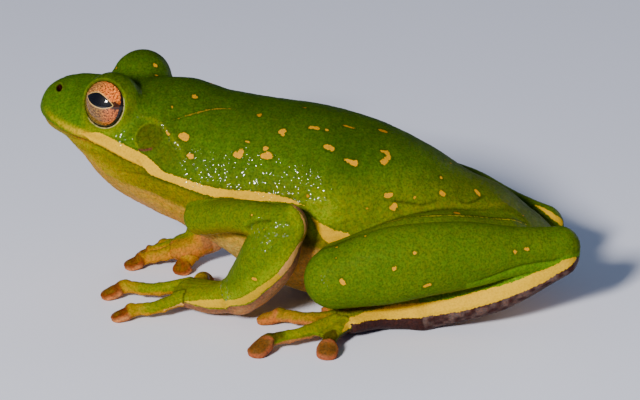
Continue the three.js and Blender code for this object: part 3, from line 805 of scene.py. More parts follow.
def unwrap(v, q):
    """The smooth mesh's flat map, by corner. Later points go halfway along its edges."""
    me = bpy.data.meshes.new("flat")
    me.from_pydata(v.tolist(), [], q.tolist())
    ob = bpy.data.objects.new("flat", me)
    bpy.context.scene.collection.objects.link(ob)
    bpy.context.view_layer.objects.active = ob
    ob.select_set(True)
    bpy.ops.object.mode_set(mode="EDIT")
    bpy.ops.mesh.select_all(action="SELECT")
    bpy.ops.uv.smart_project(angle_limit=1.15, island_margin=0.002)
    bpy.ops.object.mode_set(mode="OBJECT")
    out = np.empty(len(q) * 8, F)
    me.uv_layers.active.uv.foreach_get("vector", out)
    bpy.data.objects.remove(ob)
    bpy.data.meshes.remove(me)
    return out.reshape(-1, 4, 2)


SOCKET_R = EYE_R + 0.03


def cut_eye(v, n, q, uv, side):
    """Opens the skin over an eye: takes the cap off, snaps the edge to the lids' margin and lines the socket."""
    e, g, up, forward = eye_axes(side)
    w = to_head(v) - e
    t, su, sf = w @ g, w @ up, w @ forward
    across = np.sqrt(su * su + sf * sf) + F(1e-6)
    at = opening(sf, su, across)
    rim = np.sqrt(SOCKET_R**2 - at * at)
    cap = (np.abs(t - at) < 0.3) & (across < rim + 0.5)
    gone = cap[q].all(1) & ((across - rim)[q].mean(1) < 0)
    q, uv = q[~gone], uv[~gone]
    a = q.ravel()
    b = np.roll(q, -1, 1).ravel()
    key = a.astype(np.int64) * len(v) + b
    other = b.astype(np.int64) * len(v) + a
    alone = ~np.isin(key, other)
    near = cap[a] & cap[b]
    a, b = a[alone & near], b[alone & near]
    edge = np.unique(np.r_[a, b])
    way = (sf[edge, None] * forward + su[edge, None] * up) / across[edge, None]
    spot = e + g * at[edge, None] + way * rim[edge, None]
    v, n = v.copy(), n.copy()
    v[edge] = from_head(spot)
    number = np.full(len(v), -1)
    number[edge] = np.arange(len(edge))
    rings = 12
    start = np.arccos(at[edge] / SOCKET_R)
    turn = (np.arctan2(su[edge], sf[edge]) / (2 * np.pi)) % 1
    points, bends = [], []
    for j in range(1, rings + 1):
        angle = start + (np.pi * 0.94 - start) * (j / rings) ** 1.3
        d = np.cos(angle)[:, None] * g + np.sin(angle)[:, None] * way
        points.append(from_head(e + SOCKET_R * d))
        bends.append((-d).astype(F) @ HEAD_AXES.astype(F))
    pole = from_head(e - SOCKET_R * g)[None]
    base = len(v)
    m = len(edge)
    rows = [edge] + [base + j * m + np.arange(m) for j in range(rings)]
    ia, ib = number[a], number[b]
    new, new_uv = [], []
    corner = 0.985, 0.25 + 0.5 * (side < 0)
    place = lambda j, i: np.stack([corner[0] + 0.012 * j / rings + 0 * turn[i], corner[1] + 0.24 * turn[i]], 1)
    for j in range(rings):
        new.append(np.stack([rows[j][ib], rows[j][ia], rows[j + 1][ia], rows[j + 1][ib]], 1))
        new_uv.append(np.stack([place(j, ib), place(j, ia), place(j + 1, ia), place(j + 1, ib)], 1))
    top = base + rings * m
    fan = [[int(rows[-1][y]), int(rows[-1][x]), top] for x, y in zip(ia, ib)]
    fan_uv = [np.stack([place(rings, np.array([y]))[0], place(rings, np.array([x]))[0], np.array(corner)]) for x, y in zip(ia, ib)]
    v = np.vstack([v] + points + [pole]).astype(F)
    n = np.vstack([n] + bends + [g[None] @ HEAD_AXES.astype(F)]).astype(F)
    inner = np.zeros(len(v), bool)
    inner[base:] = True
    return v, n, np.vstack([q] + new), np.concatenate([uv] + new_uv), fan, fan_uv, inner, edge


def tidy(v, arrays, q, loose):
    """Drops the vertices that no face uses."""
    used = np.zeros(len(v), bool)
    used[q.ravel()] = True
    for f in loose:
        used[f] = True
    number = np.cumsum(used) - 1
    return v[used], [a[used] for a in arrays], number[q], [[int(number[i]) for i in f] for f in loose]


import time

clock = time.perf_counter()


def tick(what):
    print(f"  {time.perf_counter() - clock:6.1f} s  {what}", flush=True)


VOXEL = 0.26
verts, quads = mesh_of(np.array([-20.2, -28.2, -0.55]), np.array([20.2, 28.6, 23.2]), VOXEL)
verts, quads = largest_piece(verts, quads)
tick(f"nets {len(verts)}")
verts, normals = settle(relax(verts, quads, 2), 2)
tick("settled")
flat = unwrap(verts, quads)
flat[:, :, 0] *= 0.978
tick("unwrapped")
verts, quads, flat, _, _ = divide(verts, quads, flat)
verts, normals = settle(verts, 1)
tick(f"divided {len(verts)}")
before = len(verts)
reach_back = to_head(verts)[quads].mean(1)
fine = (reach_back[:, 1] < 17.0) & (np.abs(reach_back[:, 2]) < 12)
verts, quads, flat, loose, loose_flat = divide(verts, quads, flat, fine)
new_verts, new_normals = settle(verts[before:], 1)
verts[before:] = new_verts
normals = np.vstack([normals, new_normals])
tick(f"head divided {len(verts)}")
hidden = np.zeros(len(verts), bool)
margin = np.zeros(len(verts), bool)
for side in (1, -1):
    verts, normals, quads, flat, fan, fan_flat, inner, edge = cut_eye(verts, normals, quads, flat, side)
    loose, loose_flat = loose + fan, loose_flat + fan_flat
    more = len(verts) - len(hidden)
    hidden = np.r_[hidden, np.zeros(more, bool)] | inner
    margin = np.r_[margin, np.zeros(more, bool)]
    margin[edge] = True
verts, (normals, hidden, margin), quads, loose = tidy(verts, [normals, hidden, margin], quads, loose)
tick(f"eyes opened {len(verts)}")

# ---------------------------------------------------------------- where each point is
N = len(verts)
P = verts.astype(F)
H = to_head(P)
BEHIND = smooth(14.0, 24.0, H[:, 1]).astype(F)  # 0 in the head's frame, 1 in the trunk's


class Near:
    """A part's own coordinates at the points near it."""

    def __init__(self, part, margin=1.6):
        self.i = np.flatnonzero(np.all((P > part.lo - margin) & (P < part.hi + margin), axis=1))
        p = P[self.i]
        self.s, self.a, self.u, self.past = part.coords(p)
        r = lookup(self.s, part.rows)
        t = np.where(self.past < 0, self.past / part.c0, self.past / part.c1)
        h = np.where(self.u > 0, r[:, 1], r[:, 2])
        q = np.sqrt((self.a / r[:, 0]) ** 2 + (self.u / h) ** 2 + t * t) + F(1e-4)
        self.f = np.sqrt(self.a**2 + self.u**2 + self.past**2) * (1 - 1 / q)


BODY = 0
PARTS = [("body", 0)]
NEAR = [None]
SIGN = dict(upper=1, fore=-1, palm=-1, finger=-1, thigh=-1, shank=1, tarsus=-1, foot=-1, toe=-1)
for name, s in SIDES.items():
    side = 1 if name == "left" else -1
    for kind in ("upper", "fore", "palm", "thigh", "shank", "tarsus", "foot"):
        PARTS.append((kind, side))
        NEAR.append(Near(getattr(s, kind)))
    for kind, group in (("finger", s.fingers), ("toe", s.toes)):
        for number, d in enumerate(group, 1):
            PARTS.append((f"{kind}{number}", side))
            NEAR.append(Near(d, 1.0))
first = body_field(P)[0].copy()
body_f = first.copy()
owner = np.zeros(N, np.int16)
second = np.full(N, FAR, F)
LIMB = {"upper": 1, "fore": 2, "palm": 3, "finger": 4, "thigh": 5, "shank": 6, "tarsus": 7, "foot": 8, "toe": 9}
arm_f = np.full(N, FAR, F)
leg_f = np.full(N, FAR, F)
for k in range(1, len(PARTS)):
    q = NEAR[k]
    f = q.f
    closer = f < first[q.i]
    second[q.i] = np.where(closer, first[q.i], np.minimum(second[q.i], f))
    first[q.i] = np.where(closer, f, first[q.i])
    owner[q.i[closer]] = k
    into = arm_f if PARTS[k][0][:2] in ("up", "fo", "pa", "fi") and PARTS[k][0] != "foot" else leg_f
    into[q.i] = np.minimum(into[q.i], f)
tick("parts known")


def hashed(i, j, k, seed):
    with np.errstate(over="ignore"):
        h = (
            i.astype(np.uint32) * np.uint32(374761393)
            + j.astype(np.uint32) * np.uint32(668265263)
            + k.astype(np.uint32) * np.uint32(2246822519)
            + np.uint32(seed * 3266489917 & 0xFFFFFFFF)
        )
        h ^= h >> np.uint32(15)
        h *= np.uint32(2654435761)
        h ^= h >> np.uint32(13)
        h *= np.uint32(1274126177)
        h ^= h >> np.uint32(16)
    return h.astype(F) * F(1 / 4294967296)


def waves(p, size, seed):
    """Smooth noise from -1 to 1, with features of a size in mm."""
    x = p / F(size)
    b = np.floor(x)
    t = x - b
    t = t * t * (3 - 2 * t)
    b = b.astype(np.int32)
    out = np.zeros(len(p), F)
    for i in (0, 1):
        for j in (0, 1):
            for k in (0, 1):
                w = (t[:, 0] if i else 1 - t[:, 0]) * (t[:, 1] if j else 1 - t[:, 1]) * (t[:, 2] if k else 1 - t[:, 2])
                out += w * hashed(b[:, 0] + i, b[:, 1] + j, b[:, 2] + k, seed)
    return out * 2 - 1


def grains(p, size, seed, chunk=200_000):
    """A granule's height from 0 in the groove to 1 on top, one granule to a cell of a size in mm."""
    out = np.empty(len(p), F)
    for at in range(0, len(p), chunk):
        x = p[at : at + chunk] / F(size)
        b = np.floor(x).astype(np.int32)
        f1 = np.full(len(x), 9, F)
        f2 = np.full(len(x), 9, F)
        for i in (-1, 0, 1):
            for j in (-1, 0, 1):
                for k in (-1, 0, 1):
                    c = b + np.array([i, j, k], np.int32)
                    d = np.zeros(len(x), F)
                    for axis in range(3):
                        o = hashed(c[:, 0], c[:, 1], c[:, 2], seed + 7 * axis) * F(0.8) + F(0.1)
                        d += (c[:, axis] + o - x[:, axis]) ** 2
                    f2 = np.minimum(f2, np.maximum(d, f1))
                    f1 = np.minimum(f1, d)
        out[at : at + chunk] = np.clip((np.sqrt(f2) - np.sqrt(f1)) * 1.9, 0, 1)
    return out


def line_distance(p, line):
    """From each point to a line of points, and how far along it the nearest place is, from 0 to 1."""
    line = np.asarray(line, F)
    best = np.full(len(p), 1e9, F)
    along = np.zeros(len(p), F)
    for i in range(len(line) - 1):
        a, e = line[i], line[i + 1] - line[i]
        w = p - a
        t = np.clip((w @ e) / F(max(float(e @ e), 1e-9)), 0, 1)
        d = ((w - t[:, None] * e) ** 2).sum(1)
        closer = d < best
        best = np.where(closer, d, best)
        along = np.where(closer, (i + t) / (len(line) - 1), along)
    return np.sqrt(best), along


def line_near(p, line, reach):
    """The same, with points farther than reach left at reach."""
    line = np.asarray(line, F)
    i = np.flatnonzero(np.all((p > line.min(0) - reach) & (p < line.max(0) + reach), axis=1))
    d, along = np.full(len(p), reach, F), np.zeros(len(p), F)
    if len(i):
        d[i], along[i] = line_distance(p[i], line)
    return d, along


def curve(points, n=25):
    return spline(points, n)[0]


def ridge(d, width):
    return np.exp(-((d / width) ** 2))


HM = H.copy()  # the head's frame with the right side folded onto the left
HM[:, 0] = np.abs(HM[:, 0])
head_part = (owner == BODY) & (H[:, 1] < 22)
on_body = smooth(0.5, 0.05, body_f).astype(F)
up_n = normals[:, 2]

# ---------------------------------------------------------------- relief, in mm along the normal
D = np.zeros(N, F)
painted_shade = np.zeros(N, F)  # painted shade in folds, creases and pits

# mouth
MOUTH = [[0.0, -0.8], [1.5, -0.72], [3.4, -0.45], [4.5, -0.48], [5.8, -0.25], [7.0, 0.05], [7.9, 0.2], [9.4, 0.22], [11.0, 0.14], [12.3, 0.06], [13.8, 0.16]]
mouth_z = np.interp(H[:, 1], [m[0] for m in MOUTH], [m[1] for m in MOUTH]).astype(F)
mouth_on = (smooth(14.0, 12.6, H[:, 1]) * (H[:, 1] < 15) * on_body * (H[:, 2] < 3)).astype(F)
below = mouth_z - H[:, 2]
D -= 0.17 * ridge(below, 0.10) * mouth_on
D += 0.075 * ridge(below + 0.34, 0.26) * mouth_on * smooth(-0.2, 1.0, HM[:, 0])
D -= 0.05 * ridge(below - 0.35, 0.3) * mouth_on
# painted shade along the mouth's groove
painted_shade += 0.75 * ridge(below, 0.10) * mouth_on
# the mouth's corner, with painted shade in its groove
d, _ = line_near(HM, [[7.65, 13.2, 0.55], [7.75, 13.75, 0.16], [7.85, 14.3, -0.35]], 1.5)
D -= 0.12 * ridge(d, 0.12)
painted_shade += 0.35 * ridge(d, 0.12)

# nostrils
# each an upright oval, 0.66 mm by 0.84 mm seen from the side
axes = to_head(np.array([[0.0, 0.0, 0.0], [-0.14, 0.99, 0.0], [-0.32, -0.05, 0.95]], F))
d = HM - np.array([2.03, 2.19, 2.29], F)
close = (d * d).sum(1) < 1.7
d = np.sqrt((d @ (axes[1] - axes[0]) / F(0.32)) ** 2 + (d @ (axes[2] - axes[0]) / F(0.41)) ** 2)
D += (-0.6 * smooth(1.05, 0.25, d) + 0.06 * ridge(d - 1.3, 0.3)) * close
pit = (smooth(1.05, 0.8, d) * close).astype(F)
pit_rim = (ridge(d - 1.2, 0.25) * close).astype(F)

# eardrum and the fold over it
TYMPANUM = np.array([6.6, 13.46, 2.78], F)
drum_d = np.sqrt(((HM - TYMPANUM) ** 2).sum(1))
drum = smooth(1.36, 1.18, drum_d).astype(F)
D += (0.016 * ridge(drum_d - 1.42, 0.18) - 0.014 * drum + 0.016 * ridge(drum_d, 0.6) * drum).astype(F) * (drum_d < 3)
# painted shade in the groove just inside the eardrum's rim
painted_shade += 0.1 * ridge(drum_d - 1.26, 0.1)
FOLD = curve([[4.2, 10.9, 3.3], [5.13, 11.96, 3.84], [5.53, 13.41, 4.1], [5.99, 14.57, 3.95], [6.5, 15.6, 3.55], [6.93, 16.49, 3.18], [7.39, 17.34, 2.6], [7.8, 18.6, 1.9]])
d, along = line_near(HM, FOLD, 1.6)
fade = np.maximum(np.sin(np.pi * np.clip(along, 0, 1)), 0) ** 0.5
D += 0.085 * ridge(d, 0.40) * fade * (d < 1.55)
fold_below = (HM[:, 2] < np.interp(HM[:, 1], FOLD[:, 1], FOLD[:, 2])).astype(F)
D -= 0.05 * ridge(d - 0.55, 0.25) * fade * fold_below * (d < 1.55)
fold_light = (ridge(d, 0.22) * fade).astype(F) * (d < 1.5)

# gular folds and the fold across the chest, with painted shade in them
for line, width, depth in (
    (curve([[6.64, 10.81, -1.83], [7.33, 12.7, -1.13], [7.86, 14.94, -0.55], [7.98, 16.98, -0.5], [8.17, 18.39, -0.45]]), 0.16, 0.10),
    (curve([[5.0, 9.0, -3.2], [6.3, 12.0, -3.3], [7.2, 15.2, -2.7], [7.4, 18.0, -2.5]]), 0.28, 0.05),
    (curve([[3.6, 9.6, -4.9], [5.2, 13.0, -4.7], [6.3, 16.4, -4.4], [6.6, 19.0, -4.0]]), 0.30, 0.05),
    (curve([[6.9, 19.6, -3.2], [5.0, 19.9, -5.0], [2.5, 20.2, -6.2], [0.0, 20.3, -6.6]]), 0.22, 0.12),
):
    d, along = line_near(HM, line, 1.2)
    edge_fade = smooth(0, 0.12, along) * smooth(1.001, 0.88, along) if line[-1][0] > 1 else smooth(0, 0.15, along)
    g = ridge(d, width) * (d < 1.15) * edge_fade * on_body
    D -= depth * g
    painted_shade += 0.3 * g

# the lids' margins stand up a little, with a shallow furrow round the eye
for side in (1, -1):
    e, g, up, forward = eye_axes(side)
    w = H - e
    near = np.flatnonzero((w * w).sum(1) < 30)
    wn = w[near]
    t = wn @ g
    su, sf = wn @ up, wn @ forward
    r = np.sqrt((wn * wn).sum(1))
    away = np.sqrt(su * su + sf * sf) + F(1e-4)
    out_of_rim = away - np.sqrt(np.maximum(SOCKET_R**2 - opening(sf, su, away) ** 2, 0))
    front = smooth(-0.2, 0.8, t)
    D[near] += (0.03 * ridge(out_of_rim - 0.34, 0.16) - 0.035 * ridge(out_of_rim - 0.85, 0.22) * smooth(0.4, -0.8, su)) * front
D[hidden | margin] = 0

# canthus from the nostril to the eye
d, along = line_near(HM, curve([[2.4, 2.6, 2.3], [3.4, 4.2, 2.75], [4.3, 5.9, 3.1]]), 1.4)
D += 0.07 * ridge(d, 0.5) * smooth(0, 0.3, along) * smooth(1, 0.7, along) * (d < 1.35)

# a line of each limb's folds
for k in range(1, len(PARTS)):
    q, kind = NEAR[k], PARTS[k][0]
    own = owner[q.i] == k
    i = q.i[own]
    s_, a_, u_, past = q.s[own], q.a[own], q.u[own], q.past[own]
    if kind.startswith(("finger", "toe")):
        length = (SIDES["left" if PARTS[k][1] > 0 else "right"].fingers if kind[0] == "f" else SIDES["left" if PARTS[k][1] > 0 else "right"].toes)[int(kind[-1]) - 1].length
        half = F(1.0)
        pad = smooth(0.80, 0.88, s_)
        # the groove round a disc, knuckles above, tubercles below, with painted shade in the groove behind the disc
        D[i] -= 0.075 * ridge(u_ + 0.02, 0.10) * pad
        D[i] += 0.10 * ridge((s_ - 0.79) * length, 0.30) * smooth(0, 0.4, u_)
        D[i] -= (0.26 if kind[0] == "f" else 0.20) * smooth(0.83, 0.90, s_) * smooth(0.05, 0.5, u_)
        D[i] -= 0.05 * ridge((s_ - 0.73) * length, 0.16) * smooth(-0.2, 0.3, u_)
        for at in (0.36, 0.58):
            D[i] += 0.10 * ridge((s_ - at) * length, 0.30) * smooth(-0.1, -0.5, u_)
            D[i] += 0.045 * ridge((s_ - at) * length, 0.30) * smooth(0.1, 0.5, u_)
        painted_shade[i] += 0.25 * ridge((s_ - 0.73) * length, 0.14) * smooth(-0.2, 0.3, u_)
    elif kind == "palm" or kind == "foot":
        # furrows between the bones of the palm and foot, with painted shade in them
        for at in (-1.1, -0.35, 0.45, 1.15):
            fur = ridge(a_ - at * (0.5 + 0.5 * s_), 0.10) * smooth(0.2, 0.7, s_) * smooth(0.2, 0.8, u_)
            D[i] -= 0.05 * fur
            painted_shade[i] += 0.22 * fur
    elif kind == "fore":
        lat = a_ * SIGN["fore"] * PARTS[k][1]
        # where the elbow bends, and behind the wrist
        for at in (0.16, 0.26):
            D[i] -= 0.05 * ridge((s_ - at) * 10 + 0.25 * u_, 0.16) * smooth(0.2, 1.4, u_)
        for at in (0.86, 0.93, 1.0):
            D[i] -= 0.018 * ridge((s_ - at) * 10, 0.14) * smooth(0.0, 1.0, u_)
    elif kind == "upper":
        for at in (0.80, 0.92):
            D[i] -= 0.05 * ridge((s_ - at) * 9 - 0.2 * u_, 0.16) * smooth(0.5, -1.0, u_)
    elif kind == "tarsus":
        lat = a_ * SIGN["tarsus"] * PARTS[k][1]
        # the fold along the outer edge
        D[i] += 0.09 * ridge(u_ - np.interp(s_, [0, 0.2, 0.4, 0.6, 1], [-1.2, -0.9, -0.2, 0.15, 0.3]), 0.22) * smooth(0.8, 1.4, lat)

# creases where parts press on each other, with painted shade in them, and loose skin beside them
crease = ridge(second - first, 0.16) * (first < 0.3)
for s in SIDES.values():
    for at, radius in ((s.shoulder, 3.4), (s.hip, 4.0), (s.wrist, 2.4), (s.ankle, 2.2), (s.instep, 2.4), (s.knee, 2.4)):
        crease *= 1 - around(P, at, F(radius))
    crease *= 1 - smooth(5.2, 3.6, np.sqrt(((P - s.elbow) ** 2).sum(1))) * np.isin(owner, [k for k in range(1, len(PARTS)) if PARTS[k][0] in ("upper", "fore")])
crease *= (np.char.startswith(np.array([x[0][:3] for x in PARTS]), "fin") | np.char.startswith(np.array([x[0][:3] for x in PARTS]), "toe"))[owner] * -0.8 + 1
painted_shade += 0.45 * crease
tight = np.exp(-(((second - first) / 0.07) ** 2)) * np.clip(crease * 3 - 1.6, 0, 1)
D -= 0.06 * tight
painted_shade += 0.55 * tight


def score(line, width, depth, shade, reach=1.2):
    """A groove along a line of points, with painted shade at its bottom."""
    d, along = line_near(P, curve(line), reach)
    g = ridge(d, width) * (d < 0.96 * reach) * smooth(0, 0.14, along) * smooth(1.001, 0.86, along)
    D[:] -= (depth * g).astype(F)
    painted_shade[:] += (shade * ridge(d, 0.75 * width) * (g > 0) * smooth(0, 0.14, along) * smooth(1.001, 0.86, along)).astype(F)


# folds over the hip, in the elbow's bend, behind the armpit, on the flank and between shank and heel
score([[7.6, 7.6, 12.65], [7.06, 10.08, 12.38], [6.72, 11.18, 12.12], [6.33, 12.37, 11.94], [5.63, 13.42, 12.05], [4.89, 14.39, 12.15]], 0.18, 0.10, 0.7)
score([[4.41, 15.48, 11.74], [3.9, 16.48, 11.41], [3.0, 17.2, 11.38], [2.1, 17.72, 11.36]], 0.16, 0.09, 0.7)
score([[13.95, -0.75, 12.2], [13.68, -1.3, 12.22], [13.14, -2.51, 11.78], [12.7, -3.34, 11.0], [12.5, -3.7, 10.5]], 0.20, 0.20, 0.8)
score([[8.85, 1.0, 11.8], [8.95, 1.3, 10.6], [9.15, 1.65, 9.2], [9.1, 1.9, 8.3]], 0.28, 0.16, 0.8)
score([[8.39, 1.42, 13.51], [8.58, 2.11, 12.92], [8.77, 2.9, 12.32], [8.93, 3.49, 11.71]], 0.12, 0.05, 0.35)
score([[8.39, 3.8, 13.03], [8.55, 4.77, 12.24], [8.62, 5.54, 11.6]], 0.12, 0.05, 0.35)
score([[11.39, 17.42, 6.1], [10.67, 19.04, 6.45], [10.11, 20.38, 6.87], [9.46, 21.73, 7.24], [8.69, 23.25, 7.42], [7.88, 24.87, 7.43], [7.4, 26.16, 7.9]], 0.15, 0.10, 0.75)
d, along = line_near(P, curve([[9.0, 1.9, 11.6], [9.25, 2.2, 10.2], [9.3, 2.5, 8.8]]), 1.5)
axilla = (ridge(d, 0.5) * (d < 1.45) * np.maximum(np.sin(np.pi * np.clip(along, 0, 1)), 0) ** 0.5).astype(F)
D += 0.34 * axilla
# the back is fuller over the end of the spine
D += (0.65 * ridge(P[:, 1] - 19.0, 2.8) * smooth(5.5, 2.0, np.abs(P[:, 0] + 0.3)) * smooth(0.0, 0.5, up_n) * on_body).astype(F)

side_y, side_z = P[:, 1], P[:, 2]
flank = on_body * smooth(4.5, 7.0, np.abs(P[:, 0])) * smooth(-9, -5, side_y) * smooth(17, 11, side_y) * smooth(15.5, 12.5, side_z)
stretched = np.stack([P[:, 0] * 0.3, P[:, 1] * 0.42 + 0.3 * P[:, 2], P[:, 2] * 1.5 - 0.55 * P[:, 1]], 1).astype(F)
lines = 1 - np.abs(waves(stretched, 0.62, 11))
D -= 0.07 * flank * lines**4
# painted shade in the flank's wrinkles
painted_shade += 0.26 * flank * lines**5
# fine streaks across the back
across = 1 - np.abs(waves(np.stack([P[:, 0] * 0.4, P[:, 1] * 2.2, P[:, 2] * 0.9], 1).astype(F), 0.8, 13))
D -= 0.018 * across**3 * on_body * BEHIND * smooth(0.0, 0.5, up_n)
soft = waves(P, 2.6, 21) * 0.05 + waves(P, 1.1, 22) * 0.018
D += soft * (0.4 + 0.6 * BEHIND) * (owner == BODY)
D += waves(P, 1.6, 23) * 0.025 * np.isin(owner, [k for k in range(1, len(PARTS)) if PARTS[k][0] in ("thigh", "shank", "fore", "upper", "tarsus")])

# granules: coarse below, fine above, flat on the digits' discs, lids and eardrum
is_digit = np.array([x[0][:3] in ("fin", "toe") for x in PARTS])[owner]
tip = np.zeros(N, F)  # 1 on a digit's disc
along_digit = np.zeros(N, F)
over_digit = np.zeros(N, F)
for k in range(1, len(PARTS)):
    if PARTS[k][0][:3] in ("fin", "toe"):
        q = NEAR[k]
        own = owner[q.i] == k
        i = q.i[own]
        tip[i] = smooth(0.76, 0.88, q.s[own])
        along_digit[i] = q.s[own]
        over_digit[i] = q.u[own]
belly = smooth(0.1, -0.45, up_n) * on_body
thigh_low = smooth(0.1, -0.4, up_n) * np.isin(owner, [k for k in range(1, len(PARTS)) if PARTS[k][0] == "thigh"])
coarse = np.maximum(belly, thigh_low).astype(F)
g_fine = grains(P, 0.44, 3)
g_coarse = np.zeros(N, F)
low = np.flatnonzero(coarse > 0.01)
g_coarse[low] = grains(P[low], 0.85, 5)
calm = (1 - 0.85 * tip) * (1 - 0.35 * drum) * (1 - 0.5 * smooth(3.4, 2.6, np.sqrt(((HM - EYE_AT.astype(F)) ** 2).sum(1))))
# wet granules stand out most on the neck and flank, the forearm, the wrist and the knee
wet = np.zeros(N, F)
for at, reach in WET:
    for turned in (1, -1):
        d = np.sqrt((((P - np.array(at, F)) if turned > 0 else (P * np.array([-1, 1, 1], F) + np.array([0.6, 0, 0], F) - np.array(at, F))) ** 2).sum(1))
        wet = np.maximum(wet, smooth(reach, 0.35 * reach, d).astype(F) * (1.0 if turned > 0 else 0.6))
d, _ = line_near(HM, FOLD[:18], 1.4)
wet = np.maximum(wet, 0.6 * smooth(0.9, 0.2, d).astype(F))
wet = np.maximum(wet, 0.7 * smooth(1.4, 0.4, np.sqrt(((HM - np.array([6.7, 11.0, 1.6], F)) ** 2).sum(1))).astype(F))
wet *= np.clip(0.7 + 0.7 * waves(P, 1.3, 61), 0, 1) * (1 - drum)
amount = 0.036 + 0.012 * smooth(4.0, 8.0, np.abs(P[:, 0])) * (owner == BODY) * BEHIND + 0.022 * wet
shape = (g_fine * (2 - g_fine) - 0.5) * amount * (1 - coarse) + (g_coarse * (2 - g_coarse) - 0.5) * 0.085 * coarse
patchy = 0.65 + 0.35 * waves(P, 3.0, 31)
D += (shape * calm * patchy).astype(F)
D[hidden | margin] = 0
if len(D) != len(verts):
    raise ValueError("relief")
# nothing sinks into the floor
final = P + normals * D[:, None]
final[:, 2] = np.maximum(final[:, 2], SOLE)
tick("relief")

# ---------------------------------------------------------------- colours
def srgb(r, g, b):
    c = np.array([r, g, b], float) / 255
    return np.where(c <= 0.04045, c / 12.92, ((c + 0.055) / 1.055) ** 2.4).astype(F)


T = np.empty((N, 3), F)


def lay(colour, w, i=slice(None)):
    w = np.clip(w, 0, 1).astype(F)[:, None]
    T[i] += (srgb(*colour) - T[i]) * w


def row(x, rows, column=1):
    return np.interp(x, [r[0] for r in rows], [r[column] for r in rows]).astype(F)


MARK = np.full(N, FAR, F)
MARK_TINT = np.tile(srgb(*MARK_YELLOW), (N, 1))


def stamp(d, colour, i=slice(None)):
    d = np.broadcast_to(d, MARK[i].shape).astype(F)
    closer = d < MARK[i]
    MARK[i] = np.where(closer, d, MARK[i])
    MARK_TINT[i] = np.where(closer[:, None], srgb(*colour), MARK_TINT[i])


big = waves(P, 5.5, 41)
mid = waves(P, 1.7, 42)
small = waves(P, 0.5, 43)
T[:] = srgb(*GREEN)
lay(GREEN_LIGHT, 0.35 + 0.35 * big + 0.2 * mid + 0.12 * small)
lay(GREEN_DARK, 0.18 + 0.2 * mid - 0.2 * big)
# the lower flanks are lighter and yellower; painted shade makes the back and other up-facing skin darker
lower = on_body * BEHIND * smooth(15.5, 12.0, P[:, 2])
lay(GREEN_YELLOW, 0.55 * lower)
lay(GREEN_DARK, 0.36 * smooth(0.55, 0.98, up_n) * on_body)

# head and trunk: a dark band below the stripe, an olive one, then the pale underside
BAND_HEAD = [[0, -0.9], [4, -0.75], [7.4, -0.49], [9.2, -0.49], [11.0, -0.78], [12.7, -0.78], [14.9, -0.68], [18.1, -0.52], [24, -0.2]]
PALE_HEAD = [[0, -1.4], [5, -1.9], [8.9, -2.6], [10.3, -3.5], [12.2, -3.4], [13.9, -2.9], [15.5, -2.6], [17.2, -2.7], [18.3, -2.9], [24, -3.4]]
BAND_TRUNK = [[-14, 12.7], [-10.8, 12.42], [-7.5, 11.95], [-4.3, 11.5], [-1, 11.3], [2.3, 11.05], [2.9, 10.2], [3.9, 9.4], [6, 8.4], [8, 7.6], [12, 6.6], [17, 6.0], [26, 6.2]]
PALE_TRUNK = [[-14, 10.5], [-10.8, 9.9], [-7.5, 8.6], [-4.3, 8.1], [-1, 8.0], [2.3, 7.8], [4.4, 7.8], [8, 6.8], [12, 5.6], [17, 5.0], [26, 5.6]]
over_band = (H[:, 2] - row(H[:, 1], BAND_HEAD)) * (1 - BEHIND) + (P[:, 2] - row(P[:, 1], BAND_TRUNK)) * BEHIND
over_pale = (H[:, 2] - row(H[:, 1], PALE_HEAD)) * (1 - BEHIND) + (P[:, 2] - row(P[:, 1], PALE_TRUNK)) * BEHIND
over_band, over_pale = over_band.astype(F), over_pale.astype(F)
is_body = owner == BODY
jitter = mid * 0.25 + small * 0.12
lay(BAND_GREEN, 0.85 * smooth(1.6, 0.4, over_band) * is_body * smooth(26, 20, H[:, 1]) * (0.3 + 0.7 * smooth(11, 16, H[:, 1])))
lay(OLIVE, 0.75 * smooth(1.2, 0.8, over_band) * smooth(16.5, 13, H[:, 1]) * smooth(4, 7, H[:, 1]) * is_body)
olive = smooth(0.25, -0.35, over_band + jitter) * is_body
lay(OLIVE, olive * 0.9)
lay(JAW_YELLOW, olive * smooth(0.6, -0.9, over_band + 0.5 + jitter) * smooth(15, 9, H[:, 1]) * 0.7)
pale = smooth(0.7, -0.5, over_pale + 1.4 * jitter) * is_body
lay(CREAM, pale)
lay(FAR_ORANGE, pale * smooth(24, 12, H[:, 1]) * 0.55)
lay(PINK, pale * np.clip(0.4 + 0.9 * mid, 0, 1) * smooth(20, 12, H[:, 1]) * 0.6)
lay(ORANGE, pale * np.clip(0.45 + 0.8 * big + 0.4 * mid, 0, 1) * (0.35 + 0.2 * smooth(11, 17, H[:, 1])))
lay(GOLD, pale * smooth(-2.4, -0.4, over_pale + 1.2 * jitter) * smooth(34, 22, H[:, 1]) * 0.75)
lay(BELLY_BROWN, pale * smooth(-5, 0, P[:, 1]) * smooth(12, 6, P[:, 1]) * smooth(4, 7.5, np.abs(P[:, 0])) * 0.6)
# lips
lip_front = smooth(9.0, 6.5, H[:, 1]) * is_body * (H[:, 1] < 12)
lay(LIP_BROWN, 0.85 * ridge(below - 0.02, 0.20) * lip_front)
lay(JAW_YELLOW, 0.6 * ridge(below - 0.55, 0.3) * lip_front)
# eardrum
lay(DRUM, 0.75 * smooth(1.7, 1.1, drum_d))
lay(DRUM_DARK, 0.45 * drum * np.clip(0.4 + mid + small, 0, 1))
lay(DRUM_DARK, 0.25 * ridge(drum_d - 1.3, 0.12))
# painted highlight on the eardrum's front rim
lay(GREEN_YELLOW, 0.5 * ridge(drum_d - 1.46, 0.10) * smooth(0.5, -0.8, H[:, 1] - 13.46))
lay(DRUM, 0.8 * ridge(np.sqrt(((HM - np.array([7.4, 15.7, 2.1], F)) ** 2).sum(1)), 1.9))
